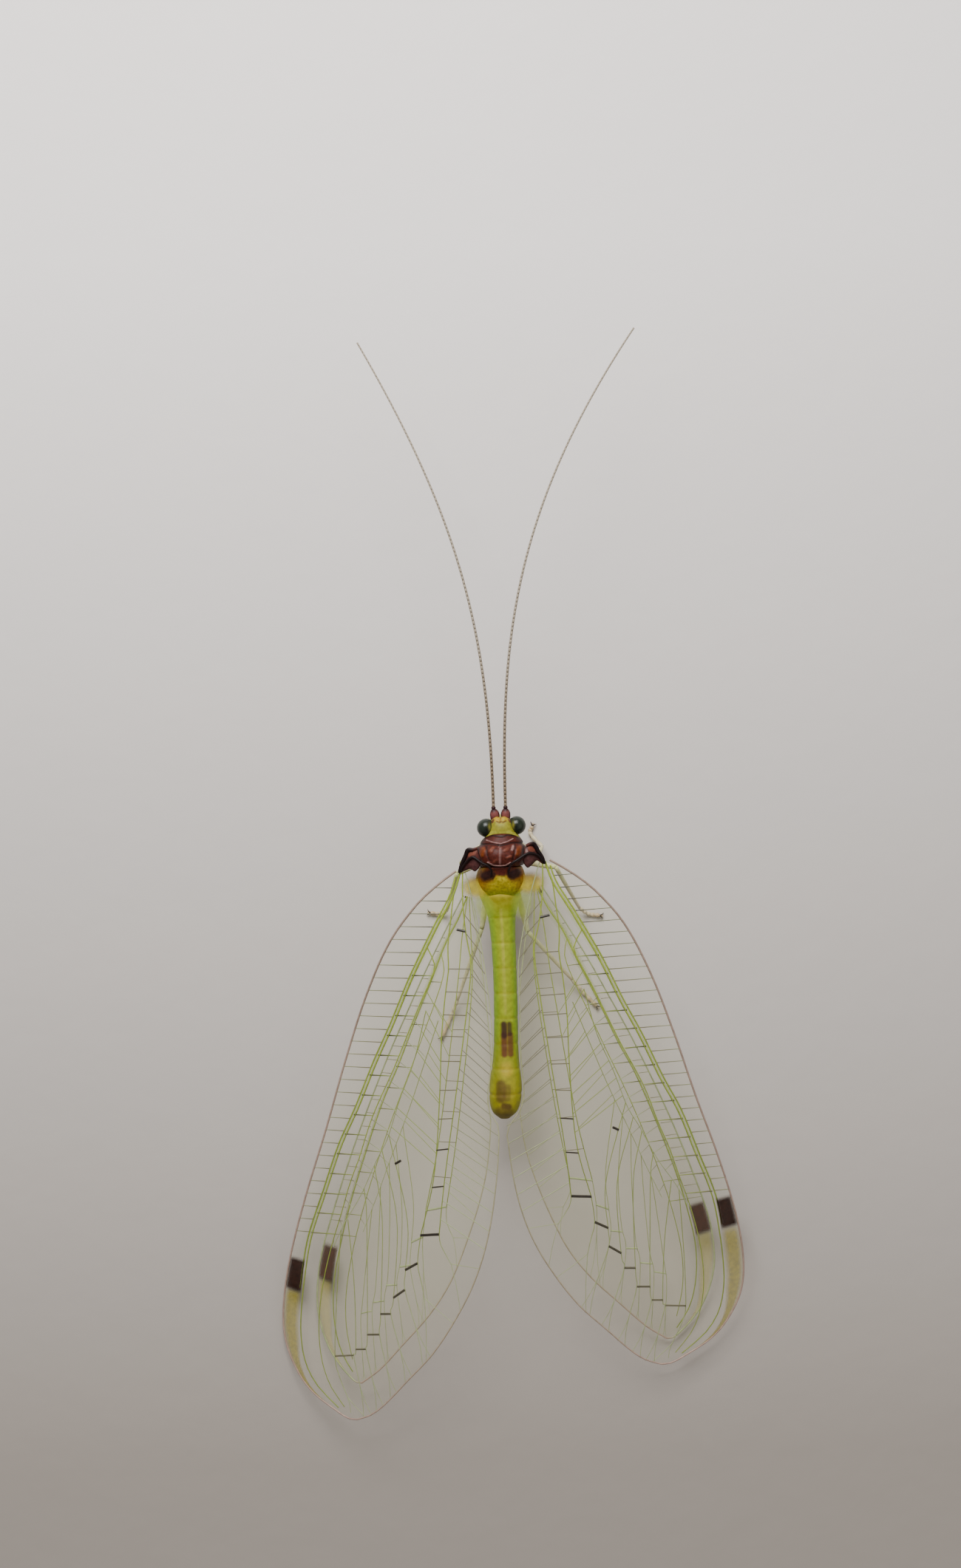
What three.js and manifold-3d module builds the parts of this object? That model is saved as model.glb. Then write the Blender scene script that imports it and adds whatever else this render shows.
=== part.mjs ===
// Green lacewing, life size, resting on a flat floor with its wings half spread.
// Millimetres. +Y runs towards the head, +Z is up, and the floor is z = 0.
// Until the last lines the origin in plan is the middle of the thorax; the group is then moved
// so that its own origin is the middle of the whole animal's footprint.
import * as THREE from "three";
import { mergeVertices } from "three/addons/utils/BufferGeometryUtils.js";
import Module from "manifold-3d";

// Driving sizes
const seam = 0.05; // space left between neighbouring body plates
const forewingChord = 19.5; // length that the wing outlines are fractions of
const hindwingChord = 17.9;
const plateThickness = 0.5; // of a wing, square to its surface
const wingGap = 0.1; // between forewing and hindwing
const limbRadius = 0.25; // of legs
const feelerRadius = 0.25; // of the outer feeler, which starts slimmer
const feelerRootRadius = 0.17;
const abdomenLevel = 2.62;
const abdomenFront = -1.57;
const abdomenEnd = -9.9;
const abdomenPlates = 9;
const thoraxHalfWidth = 0.92;
const eyeRadius = 0.34;

// Each side's wings: the photo shows the left pair turned down more at its front edge.
// Lengths are in plan and headings are degrees away from straight back.
const wingPose = {
  right: {
    side: 1,
    length: 19.53,
    heading: 12.1,
    roll: 8,
    base: [1.6, -0.44],
    tipHeight: 0.68,
    droop: 2,
  },
  left: {
    side: -1,
    length: 20.89,
    heading: 12.85,
    roll: 26,
    base: [-1.54, -0.75],
    tipHeight: 1.26,
    droop: 2.2,
  },
};
const wingRootHeight = 3.45;
const rollFadeIn = 0.35; // the roll grows from the root to this fraction of the length
const hindwingPose = {
  right: { length: 17.92, heading: 14.8, base: [1.32, -1.35] },
  left: { length: 18.76, heading: 14.15, base: [-1.35, -1.67] },
};

// Wing outlines: half chords as fractions of the chord length, at fractions of the wing's length
const forewingFront = [
  [0, 0.008], [0.03, 0.04], [0.07, 0.074], [0.145, 0.115], [0.25, 0.143], [0.37, 0.16],
  [0.5, 0.173], [0.63, 0.189], [0.75, 0.197], [0.84, 0.191],
  [0.9, 0.172], [0.95, 0.132], [0.98, 0.08], [1, 0.02],
];
const forewingBack = [
  [0, 0.012], [0.06, 0.046], [0.15, 0.087], [0.25, 0.127], [0.35, 0.162], [0.45, 0.188],
  [0.55, 0.201], [0.63, 0.202], [0.7, 0.192], [0.77, 0.17],
  [0.84, 0.139], [0.9, 0.1], [0.96, 0.054], [1, 0.01],
];
const hindwingFront = [
  [0, 0.006], [0.08, 0.03], [0.17, 0.055], [0.26, 0.076], [0.34, 0.094], [0.45, 0.114],
  [0.55, 0.129], [0.65, 0.14], [0.77, 0.148], [0.85, 0.139],
  [0.9, 0.121], [0.95, 0.086], [0.98, 0.05], [1, 0.014],
];
const hindwingBack = [
  [0, 0.012], [0.1, 0.058], [0.2, 0.1], [0.3, 0.136], [0.4, 0.162], [0.5, 0.179], [0.58, 0.179],
  [0.68, 0.168], [0.75, 0.154], [0.82, 0.126], [0.9, 0.08], [0.96, 0.044], [1, 0.01],
];

// Half width of the abdomen at distances behind its front end, and the sideways bend of its
// middle line
const abdomenHalf = [
  [0, 0.74], [0.9, 0.5], [2.5, 0.46], [4.4, 0.43], [6.0, 0.46], [7.1, 0.58], [7.7, 0.58],
  [8.33, 0.4],
];
const abdomenBend = [[0, -0.08], [2.5, 0], [4.4, 0], [7, -0.08], [8.33, -0.16]];

// Feelers: the four handles of one cubic curve each, from the pedicel to the tip
const feelers = {
  left: [[-0.21, 1.66, 3.1], [-0.25, 8, 4.6], [-1.2, 12, 5.0], [-4.63, 18.47, 3.7]],
  right: [[0.17, 1.66, 3.1], [0.17, 7.5, 4.6], [0.75, 12.2, 5.0], [5.27, 18.69, 3.9]],
};

// Legs: where the coxa starts, the trochanter, the knee, the ankle, and points along the tarsus
const footLevel = 0.22;
const legs = {
  fore_right: [[0.4, 0.36, 2.36], [0.72, 0.18, 1.65], [1.8, -0.42, 1.45], [1.6, -0.02, 0.5],
    [1.12, 0.42, footLevel], [1.2, 0.78, footLevel]],
  fore_left: [[-0.4, 0.36, 2.36], [-0.72, 0.18, 1.65], [-1.7, -0.5, 1.45], [-1.25, -0.35, 0.5],
    [-0.85, 0.2, footLevel], [-0.62, 0.72, footLevel]],
  mid_right: [[0.5, -0.3, 2.25], [0.82, -0.5, 1.6], [2.0, -0.72, 2.3], [2.9, -2.35, 0.45],
    [3.25, -2.6, footLevel], [3.68, -2.68, footLevel]],
  mid_left: [[-0.5, -0.3, 2.25], [-0.82, -0.5, 1.6], [-1.65, -0.85, 2.25], [-2.07, -2.25, 0.45],
    [-2.3, -2.45, footLevel], [-2.72, -2.4, footLevel]],
  hind_right: [[0.42, -1.15, 2.2], [0.56, -1.55, 1.6], [0.9, -3.1, 1.75], [2.55, -5.05, 0.45],
    [3.0, -5.6, footLevel], [3.46, -6.1, footLevel]],
  hind_left: [[-0.42, -1.15, 2.2], [-0.56, -1.55, 1.6], [-0.8, -2.95, 1.75], [-1.8, -5.7, 0.45],
    [-2.05, -6.3, footLevel], [-2.42, -7.1, footLevel]],
};

const colours = {
  head: 0xc3c163,
  eye: 0x333d37,
  scape: 0x9c5c55,
  feeler: 0xada08f,
  mouth: 0xb9b07a,
  darkPlate: 0x5b2f27,
  yellowPlate: 0xb9a32c,
  abdomen: 0x9fa63a,
  wing: 0xbcc0ae,
  leg: 0xc4c2a2,
};
const bodyRoughness = 0.6;
const roughness = { eye: 0.3, wing: 0.4 };

const wasm = await Module();
wasm.setup();

// Corners closer together than this are one corner.
const weldDistance = 1e-4;

// A closed geometry as a solid that can be joined and cut.
function toSolid(geometry) {
  const bare = geometry.index ? geometry.toNonIndexed() : geometry.clone();
  bare.deleteAttribute("normal");
  bare.deleteAttribute("uv");
  const merged = mergeVertices(bare, weldDistance);
  const corners = merged.index.array;
  const kept = [];
  for (let i = 0; i < corners.length; i += 3) {
    const [a, b, c] = corners.slice(i, i + 3);
    if (a !== b && b !== c && c !== a) kept.push(a, b, c);
  }
  const mesh = new wasm.Mesh({
    numProp: 3,
    vertProperties: merged.attributes.position.array,
    triVerts: new Uint32Array(kept),
  });
  return new wasm.Manifold(mesh);
}

function toGeometry(solid) {
  const mesh = solid.getMesh();
  const geometry = new THREE.BufferGeometry();
  geometry.setAttribute("position", new THREE.BufferAttribute(mesh.vertProperties, 3));
  geometry.setIndex(Array.from(mesh.triVerts));
  geometry.computeVertexNormals();
  return geometry;
}

// The solid without whatever the tools reach, and of what is left only the largest piece.
function carve(solid, ...tools) {
  const cut = tools.reduce((rest, tool) => rest.subtract(tool), solid);
  return cut.decompose().reduce((best, piece) => (piece.volume() > best.volume() ? piece : best));
}

// A smooth curve through [place, value] pairs.
function along(pairs, place) {
  const last = pairs.length - 1;
  const p = Math.min(Math.max(place, pairs[0][0]), pairs[last][0]);
  let i = 0;
  while (i < last - 1 && p > pairs[i + 1][0]) i += 1;
  const slope = (k) => {
    const from = pairs[Math.max(k - 1, 0)];
    const to = pairs[Math.min(k + 1, last)];
    return (to[1] - from[1]) / (to[0] - from[0]);
  };
  const width = pairs[i + 1][0] - pairs[i][0];
  const s = (p - pairs[i][0]) / width;
  const start = pairs[i][1] * (1 + 2 * s) * (1 - s) ** 2 + width * slope(i) * s * (1 - s) ** 2;
  const end = pairs[i + 1][1] * s ** 2 * (3 - 2 * s) - width * slope(i + 1) * s ** 2 * (1 - s);
  return start + end;
}

// An egg: a round ball stretched to three half sizes.
function egg(centre, half, grow = 0, columns = 16, rows = 10) {
  const ball = new THREE.SphereGeometry(1, columns, rows);
  ball.rotateX(Math.PI / 2);
  ball.scale(half[0] + grow, half[1] + grow, half[2] + grow);
  ball.translate(...centre);
  return toSolid(ball);
}

// A rod from a to b whose radius goes from the first to the last value, with blunted ends.
function rod(a, b, radii, grow = 0, sides = 8) {
  const from = new THREE.Vector3(...a);
  const axis = new THREE.Vector3(...b).sub(from);
  const length = axis.length();
  const [first, middle, last] = radii.map((r) => r + grow);
  const blunt = 0.3;
  const profile = [
    [0, -grow],
    [first * (1 - blunt), -grow],
    [first, first * blunt - grow],
    [middle, length / 2],
    [last, length - last * blunt + grow],
    [last * (1 - blunt), length + grow],
    [0, length + grow],
  ].map(([r, y]) => new THREE.Vector2(r, y));
  const shape = new THREE.LatheGeometry(profile, sides);
  const upright = new THREE.Vector3(0, 1, 0);
  shape.applyQuaternion(new THREE.Quaternion().setFromUnitVectors(upright, axis.normalize()));
  shape.translate(...a);
  return toSolid(shape);
}

// A round tube along a curve.
function tube(curve, radius, steps, sides = 8) {
  const ring = new THREE.Shape();
  ring.absarc(0, 0, radius, 0, 2 * Math.PI);
  const options = { steps, extrudePath: curve, curveSegments: Math.ceil(sides / 2) };
  return toSolid(new THREE.ExtrudeGeometry(ring, options));
}

// A part of a curve, from one fraction of its length to another.
class Stretch extends THREE.Curve {
  constructor(whole, from, to) {
    super();
    this.whole = whole;
    this.from = from;
    this.to = to;
  }

  getPoint(t, target = new THREE.Vector3()) {
    return this.whole.getPoint(this.from + (this.to - this.from) * t, target);
  }
}

// A block that spans the model sideways and upwards between two planes across the body.
const reach = 60;
function acrossBody(back, front) {
  const block = new THREE.BoxGeometry(reach, front - back, reach);
  block.translate(0, (front + back) / 2, 0);
  return toSolid(block);
}

const underFloor = toSolid(new THREE.BoxGeometry(reach, reach, reach).translate(0, 0, -reach / 2));

// The plan directions along a wing and across it towards its front edge.
function wingFrame(pose) {
  const turn = THREE.MathUtils.degToRad(pose.heading);
  const outward = pose.side;
  return {
    forward: [outward * Math.sin(turn), -Math.cos(turn)],
    frontward: [outward * Math.cos(turn), Math.sin(turn)],
  };
}

// The height of a forewing's middle surface above a point of the floor.
function wingHeight(pose, x, y) {
  const { forward, frontward } = wingFrame(pose);
  const dx = x - pose.base[0];
  const dy = y - pose.base[1];
  const t = (dx * forward[0] + dy * forward[1]) / pose.length;
  const v = dx * frontward[0] + dy * frontward[1];
  const drop = (wingRootHeight - pose.tipHeight) * Math.max(t, 0) ** pose.droop;
  const steepest = Math.tan(THREE.MathUtils.degToRad(pose.roll));
  const lean = steepest * THREE.MathUtils.smoothstep(t, 0, rollFadeIn);
  return wingRootHeight - drop - v * lean;
}

// A wing plate: a flat grid of blocks laid out between the two edges and draped over its surface.
function wingPlate(plan, frontEdge, backEdge, chord, pose, lowered) {
  const lengthSteps = 20;
  const chordSteps = 3;
  const flatten = Math.cos(THREE.MathUtils.degToRad(pose.roll));
  const half = plateThickness / flatten / 2;
  const { forward, frontward } = wingFrame({ ...plan, side: pose.side });
  const grid = new THREE.BoxGeometry(1, 1, 1, lengthSteps, chordSteps, 1);
  const vertex = grid.attributes.position;
  const tipCrowding = 1.5;
  for (let i = 0; i < vertex.count; i += 1) {
    const t = 1 - (0.5 - vertex.getX(i)) ** tipCrowding;
    const front = along(frontEdge, t) * chord * flatten;
    const back = -along(backEdge, t) * chord * flatten;
    const v = back + (front - back) * (vertex.getY(i) + 0.5);
    const u = t * plan.length;
    const x = plan.base[0] + u * forward[0] + v * frontward[0];
    const y = plan.base[1] + u * forward[1] + v * frontward[1];
    const z = wingHeight(pose, x, y) - lowered / flatten + Math.sign(vertex.getZ(i)) * half;
    vertex.setXYZ(i, x, y, z);
  }
  const plate = toSolid(grid);
  return plate.volume() > 0 ? plate : toSolid(turnFaces(grid));
}

// The same surface with every face turned round.
function turnFaces(geometry) {
  const index = Array.from(geometry.index.array);
  for (let i = 0; i < index.length; i += 3) {
    [index[i + 1], index[i + 2]] = [index[i + 2], index[i + 1]];
  }
  return geometry.clone().setIndex(index);
}

// Thorax rings: an egg each, cut off between two planes across the body
const thoraxRings = {
  pronotum: { centre: [-0.03, 0.42, 2.98], half: [0.76, 0.5, 0.7], back: 0.19, front: 0.6 },
  mesothorax: {
    centre: [-0.02, -0.18, 3.0],
    half: [thoraxHalfWidth, 0.8, 1.0],
    back: -0.58,
    front: 0.14,
  },
  metathorax: { centre: [-0.03, -1.1, 2.92], half: [0.86, 1.0, 0.9], back: -1.52, front: -0.63 },
};
function ringBlock(name, grow = 0) {
  const { centre, half, back, front } = thoraxRings[name];
  return egg(centre, half, grow).intersect(acrossBody(back - grow, front + grow));
}

// Head blocks, each of which can be grown to cut its neighbours clear
const skull = { centre: [0.02, 0.9, 2.93], half: [0.66, 0.42, 0.56] };
const face = { centre: [0.02, 1.16, 2.5], half: [0.3, 0.2, 0.34] };
const sockets = { left: [-0.15, 1.14, 3.0], right: [0.2, 1.14, 3.0] };
const socketHalf = [0.19, 0.17, 0.2];
const eyes = { left: [-0.53, 0.82, 3.0], right: [0.59, 0.88, 3.02] };
const headBlock = (grow = 0) =>
  egg(skull.centre, skull.half, grow)
    .add(egg(sockets.left, socketHalf, grow, 10, 6))
    .add(egg(sockets.right, socketHalf, grow, 10, 6));
const faceBlock = (grow = 0) => egg(face.centre, face.half, grow, 12, 8);
const eyeBlock = (side, grow = 0) => egg(eyes[side], [eyeRadius, eyeRadius, eyeRadius], grow);

// The wall that keeps the wings beside the thorax and abdomen: their outline in plan, extruded
// upwards
function bodyWall() {
  const room = 0.07;
  const thoraxSide = thoraxHalfWidth + room;
  const thoraxSpan = [0.2, -1.4];
  const right = thoraxSpan.map((y) => [thoraxSide, y]);
  const left = thoraxSpan.map((y) => [-thoraxSide, y]);
  const step = 0.6;
  for (let y = abdomenFront; y > abdomenEnd; y -= step) {
    const distance = abdomenFront - y;
    const half = along(abdomenHalf, distance) + room;
    right.push([along(abdomenBend, distance) + half, y]);
    left.push([along(abdomenBend, distance) - half, y]);
  }
  const tip = [along(abdomenBend, abdomenFront - abdomenEnd), abdomenEnd - room];
  const corners = [...right, tip, ...left.reverse()].map(([x, y]) => new THREE.Vector2(x, y));
  const options = { depth: 8, bevelEnabled: false };
  return toSolid(new THREE.ExtrudeGeometry(new THREE.Shape(corners), options));
}

const model = new THREE.Group();
const skins = {};
function paint(colour) {
  skins[colour] ??= new THREE.MeshStandardMaterial({
    color: colours[colour],
    roughness: roughness[colour] ?? bodyRoughness,
    metalness: 0,
  });
  return skins[colour];
}
function place(name, solid, colour) {
  const mesh = new THREE.Mesh(toGeometry(solid), paint(colour));
  mesh.name = name;
  model.add(mesh);
}

// Head
const eyeRooms = [eyeBlock("left", seam), eyeBlock("right", seam)];
place("head_capsule", carve(headBlock(), ...eyeRooms), "head");
for (const side of ["left", "right"]) place(`eye_${side}`, eyeBlock(side), "eye");
place("clypeus_labrum", carve(faceBlock(), headBlock(seam)), "head");
for (const [side, s] of [["left", -1], ["right", 1]]) {
  const jaw = rod([s * 0.24, 1.06, 2.42], [s * 0.13, 1.14, 2.02], [0.13, 0.12, 0.08]);
  place(`mandible_${side}`, carve(jaw, faceBlock(seam), headBlock(seam)), "mouth");
  const palp = rod([s * 0.42, 0.9, 2.42], [s * 0.42, 1.12, 1.95], [0.12, 0.12, 0.1]);
  place(`palps_${side}`, carve(palp, headBlock(seam)), "mouth");
}

// Feelers: a scape on the head, then three lengths of flagellum
const scapes = {
  left: [[-0.25, 1.14, 3.0], [-0.21, 1.6, 3.09]],
  right: [[0.2, 1.14, 3.0], [0.17, 1.6, 3.09]],
};
const flagellumParts = [["base", 0, 0.3], ["middle", 0.3, 0.64], ["tip", 0.64, 1]];
for (const side of ["left", "right"]) {
  const scape = rod(...scapes[side], [0.16, 0.15, 0.1]);
  place(`scape_${side}`, carve(scape, headBlock(seam)), "scape");
  const course = new THREE.CubicBezierCurve3(...feelers[side].map((p) => new THREE.Vector3(...p)));
  const gapShare = 0.003;
  for (const [part, from, to] of flagellumParts) {
    const stretch = new Stretch(course, from ? from + gapShare : 0, to);
    const radius = part === "base" ? feelerRootRadius : feelerRadius;
    place(`flagellum_${part}_${side}`, tube(stretch, radius, 7, 6), "feeler");
  }
}

// Thorax
place("pronotum", carve(ringBlock("pronotum"), headBlock(seam), ...eyeRooms), "darkPlate");
place("mesothorax", ringBlock("mesothorax"), "darkPlate");
place("metathorax", ringBlock("metathorax"), "yellowPlate");

// Abdomen: nine plates in a row, the last one rounded off
const plateLength = (abdomenFront - abdomenEnd) / abdomenPlates;
for (let i = 0; i < abdomenPlates; i += 1) {
  const station = (share) => {
    const distance = plateLength * (i + share);
    return [along(abdomenBend, distance), abdomenFront - distance, abdomenLevel];
  };
  const radius = (share) => along(abdomenHalf, plateLength * (i + share));
  const nearTip = i === abdomenPlates - 1;
  const endShare = nearTip ? 1 : 1 - seam / plateLength;
  const radii = [radius(0), radius(0.5), nearTip ? 0.3 : radius(1)];
  const sides = 10;
  const name = nearTip ? "abdomen_tip" : `abdomen_${i + 1}`;
  place(name, rod(station(0), station(endShare), radii, 0, sides), "abdomen");
}

// Wings
const wall = bodyWall();
const lowered = plateThickness + wingGap;
for (const side of ["left", "right"]) {
  const pose = wingPose[side];
  const plan = hindwingPose[side];
  const s = pose.side;
  const foreRootCentre = [pose.base[0] - s * 0.2, pose.base[1] + 0.12, wingRootHeight];
  const foreRoot = egg(foreRootCentre, [0.55, 0.5, 0.27], 0, 10, 6);
  const fore = wingPlate(pose, forewingFront, forewingBack, forewingChord, pose, 0).add(foreRoot);
  place(`forewing_${side}`, carve(fore, wall, underFloor), "wing");
  const hindRootHeight = wingRootHeight - lowered;
  const hindRootCentre = [plan.base[0] - s * 0.12, plan.base[1] + 0.05, hindRootHeight];
  const hindRoot = egg(hindRootCentre, [0.35, 0.4, 0.22], 0, 10, 6);
  const hind = wingPlate(plan, hindwingFront, hindwingBack, hindwingChord, pose, lowered).add(hindRoot);
  place(`hindwing_${side}`, carve(hind, wall, underFloor), "wing");
}

// Legs
const trunk = [...Object.keys(thoraxRings).map((ring) => ringBlock(ring, seam)), headBlock(seam)];
for (const [leg, points] of Object.entries(legs)) {
  const [hip, trochanter, knee, ankle, ...foot] = points;
  const thick = [limbRadius, limbRadius, limbRadius];
  const coxa = (grow = 0) => rod(hip, trochanter, [0.3, 0.29, limbRadius], grow);
  const femur = (grow = 0) => rod(trochanter, knee, thick, grow);
  const tibia = (grow = 0) => rod(knee, ankle, thick, grow);
  const footCurve = new THREE.CatmullRomCurve3([ankle, ...foot].map((p) => new THREE.Vector3(...p)));
  place(`coxa_${leg}`, carve(coxa(), ...trunk), "leg");
  place(`femur_${leg}`, carve(femur(), coxa(seam), ...trunk), "leg");
  place(`tibia_${leg}`, carve(tibia(), femur(seam)), "leg");
  place(`tarsus_${leg}`, carve(tube(footCurve, limbRadius, 5), tibia(seam), underFloor), "leg");
}

// The origin goes to the middle of the footprint, on the floor.
const box = new THREE.Box3().setFromObject(model);
model.position.set(-(box.min.x + box.max.x) / 2, -(box.min.y + box.max.y) / 2, -box.min.z);

export default model;
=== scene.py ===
# %% [markdown]
# # A green lacewing, from its solids to its skin
# The solids give the pose and the sizes. Here each of them is dressed: plates for the head and
# trunk, glass-thin membranes for the wings, and a net of raised veins that one Geometry Nodes
# tree sweeps along lines drawn on each wing. Places below are in millimetres, measured from the
# middle of the thorax; one function moves them into the frame of the solids.

# %% Load the frame
import math
import bpy
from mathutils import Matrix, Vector


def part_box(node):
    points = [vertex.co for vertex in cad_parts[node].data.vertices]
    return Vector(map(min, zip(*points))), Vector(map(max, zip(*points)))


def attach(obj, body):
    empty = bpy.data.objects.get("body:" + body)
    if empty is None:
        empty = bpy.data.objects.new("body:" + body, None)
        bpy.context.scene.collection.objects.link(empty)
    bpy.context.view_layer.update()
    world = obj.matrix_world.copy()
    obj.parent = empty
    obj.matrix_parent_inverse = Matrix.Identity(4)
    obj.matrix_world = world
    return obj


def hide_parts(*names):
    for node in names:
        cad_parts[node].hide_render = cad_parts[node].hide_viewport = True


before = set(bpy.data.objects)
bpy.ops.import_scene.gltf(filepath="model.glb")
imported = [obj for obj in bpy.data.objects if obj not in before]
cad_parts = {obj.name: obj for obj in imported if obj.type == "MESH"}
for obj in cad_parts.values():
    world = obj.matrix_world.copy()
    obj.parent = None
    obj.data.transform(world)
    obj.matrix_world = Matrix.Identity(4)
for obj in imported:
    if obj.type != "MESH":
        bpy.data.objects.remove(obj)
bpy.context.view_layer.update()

MM = 0.001
eye_low, eye_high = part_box("eye_left")
EYE_CENTRES = {"left": Vector((-0.53, 0.82, 3.0)), "right": Vector((0.59, 0.88, 3.02))}
EYE_RADIUS = 0.34
origin = (Vector(eye_low) + Vector(eye_high)) / 2 - EYE_CENTRES["left"] * MM


def here(x, y, z):
    """Millimetres from the middle of the thorax, as a place in the frame."""
    return origin + Vector((x, y, z)) * MM


print("the thorax stands at", [round(c, 5) for c in here(0, 0, 0)])

# %% [markdown]
# ## Curves through a few values
# Outlines are short lists of pairs. A smooth curve through them can come from a library spline,
# but a cubic whose slopes are taken from the neighbouring pairs is a dozen lines and never needs
# a curve object, so every outline in this file uses it.


# %% Smooth curves
def along(pairs, place):
    """The value at a place on a smooth curve through (place, value) pairs."""
    last = len(pairs) - 1
    p = min(max(place, pairs[0][0]), pairs[last][0])
    i = 0
    while i < last - 1 and p > pairs[i + 1][0]:
        i += 1

    def slope(k):
        a, b = pairs[max(k - 1, 0)], pairs[min(k + 1, last)]
        return (b[1] - a[1]) / (b[0] - a[0])

    width = pairs[i + 1][0] - pairs[i][0]
    s = (p - pairs[i][0]) / width
    start = pairs[i][1] * (1 + 2 * s) * (1 - s) ** 2 + width * slope(i) * s * (1 - s) ** 2
    end = pairs[i + 1][1] * s * s * (3 - 2 * s) - width * slope(i + 1) * s * s * (1 - s)
    return start + end


def smooth_step(low, high, value):
    s = min(max((value - low) / (high - low), 0.0), 1.0)
    return s * s * (3 - 2 * s)


def thread(points, steps):
    """Points along a smooth line through a few control points."""
    keys = [list(enumerate(axis)) for axis in zip(*points)]
    span = len(points) - 1
    return [tuple(along(k, span * i / steps) for k in keys) for i in range(steps + 1)]


def blend(a, b, share):
    return tuple(p + (q - p) * share for p, q in zip(a, b))


print("half way along a test line:", thread([(0, 0), (1, 2), (2, 0)], 2)[1])

# %% [markdown]
# ## Colours and materials
# Each skin carries its pattern as a colour on its points, called paint, because stripes and
# spots on an insect sit at known places. The node material adds what paint can't: fine mottling,
# a varying shine and the grain of cuticle, all from noise read in the object's own coordinates.


# %% Colours
def srgb(code):
    """A colour code such as 0x5b2f27 as linear light."""
    parts = [(code >> shift & 255) / 255 for shift in (16, 8, 0)]
    return tuple(c / 12.92 if c <= 0.04045 else ((c + 0.055) / 1.055) ** 2.4 for c in parts)


COLOUR = {
    "vertex": srgb(0x8A8424),
    "frons": srgb(0xB0901E),
    "blush": srgb(0x5A2610),
    "face": srgb(0xB0A860),
    "scape": srgb(0x743F3B),
    "scape_edge": srgb(0x301416),
    "feeler_base": srgb(0x7C6A54),
    "feeler": srgb(0x9C907E),
    "chestnut": srgb(0x4C1C12),
    "chestnut_light": srgb(0x7C4230),
    "nearly_black": srgb(0x180A0A),
    "pale_line": srgb(0xB08A84),
    "amber": srgb(0x9A6A14),
    "yellow": srgb(0xAC9A1E),
    "orange": srgb(0x96700A),
    "orange_brown": srgb(0x7A3A10),
    "green": srgb(0x8F9A12),
    "green_side": srgb(0x7E9C18),
    "green_pale": srgb(0xA8A43C),
    "brown_mark": srgb(0x4A2412),
    "leg": srgb(0xCCC0A0),
    "leg_green": srgb(0xBEC08A),
    "tarsus": srgb(0xB8A280),
    "claw": srgb(0x2E1C14),
    "vein_green": srgb(0x80903A),
    "vein_yellow": srgb(0x90A032),
    "vein_pale": srgb(0x9CA678),
    "vein_dark": srgb(0x2C261E),
    "vein_grey": srgb(0x6C6850),
    "costa": srgb(0xA88C80),
    "stigma": srgb(0x2E1810),
    "stigma_red": srgb(0x3E0E06),
    "stigma_yellow": srgb(0x988A1A),
    "band_pale": srgb(0xC0B048),
    "purple_brown": srgb(0x240E10),
    "red_brown": srgb(0x36140A),
    "rust": srgb(0x5E2614),
    "lime": srgb(0x98AC2C),
    "flap": srgb(0x452422),
    "olive_brown": srgb(0x6A5420),
}
C = COLOUR
print(len(C), "named colours")


# %% Node helpers
def fill(node, values):
    """Sets some of a node's inputs by name."""
    for name, value in values.items():
        node.inputs[name].default_value = value


def add_node(tree, kind, values=None, **settings):
    """A new node in a tree, its settings made first because they decide which inputs it has."""
    node = tree.nodes.new(kind)
    for name, value in settings.items():
        setattr(node, name, value)
    fill(node, values or {})
    return node


def first_of(tree, kind):
    return next(node for node in tree.nodes if node.bl_idname == kind)


def new_material(name):
    """A material, its node tree and its shader."""
    material = bpy.data.materials.new(name)
    material.use_nodes = True
    return material, material.node_tree, material.node_tree.nodes["Principled BSDF"]


def noise(tree, place, size_mm, detail=2.0):
    """Noise read in the object's own coordinates, its spots about this wide."""
    node = add_node(tree, "ShaderNodeTexNoise", {"Scale": 1 / (size_mm * MM), "Detail": detail})
    tree.links.new(place.outputs["Object"], node.inputs["Vector"])
    return node.outputs["Fac"]


def ranged(tree, value, low, high, from_low=0.0, from_high=1.0):
    """A value moved from one range to another."""
    node = add_node(tree, "ShaderNodeMapRange", {"From Min": from_low, "From Max": from_high,
                                                 "To Min": low, "To Max": high})
    tree.links.new(value, node.inputs["Value"])
    return node.outputs["Result"]


def bumps(tree, height, strength, depth_mm):
    """Small relief on the tree's shader."""
    node = add_node(tree, "ShaderNodeBump", {"Strength": strength, "Distance": depth_mm * MM})
    tree.links.new(height, node.inputs["Height"])
    tree.links.new(node.outputs["Normal"], tree.nodes["Principled BSDF"].inputs["Normal"])


def see_through(tree, amount, clear):
    """Lays the shader over a clear one; amount is how much of the shader shows."""
    mix = add_node(tree, "ShaderNodeMixShader")
    tree.links.new(amount, mix.inputs["Fac"])
    tree.links.new(clear.outputs["BSDF"], mix.inputs[1])
    tree.links.new(tree.nodes["Principled BSDF"].outputs["BSDF"], mix.inputs[2])
    tree.links.new(mix.outputs["Shader"], tree.nodes["Material Output"].inputs["Surface"])


print("node helpers ready")

# %% Shell materials
GRAIN_DEPTH = 0.01
GLOW_DEPTH = 0.15


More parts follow.
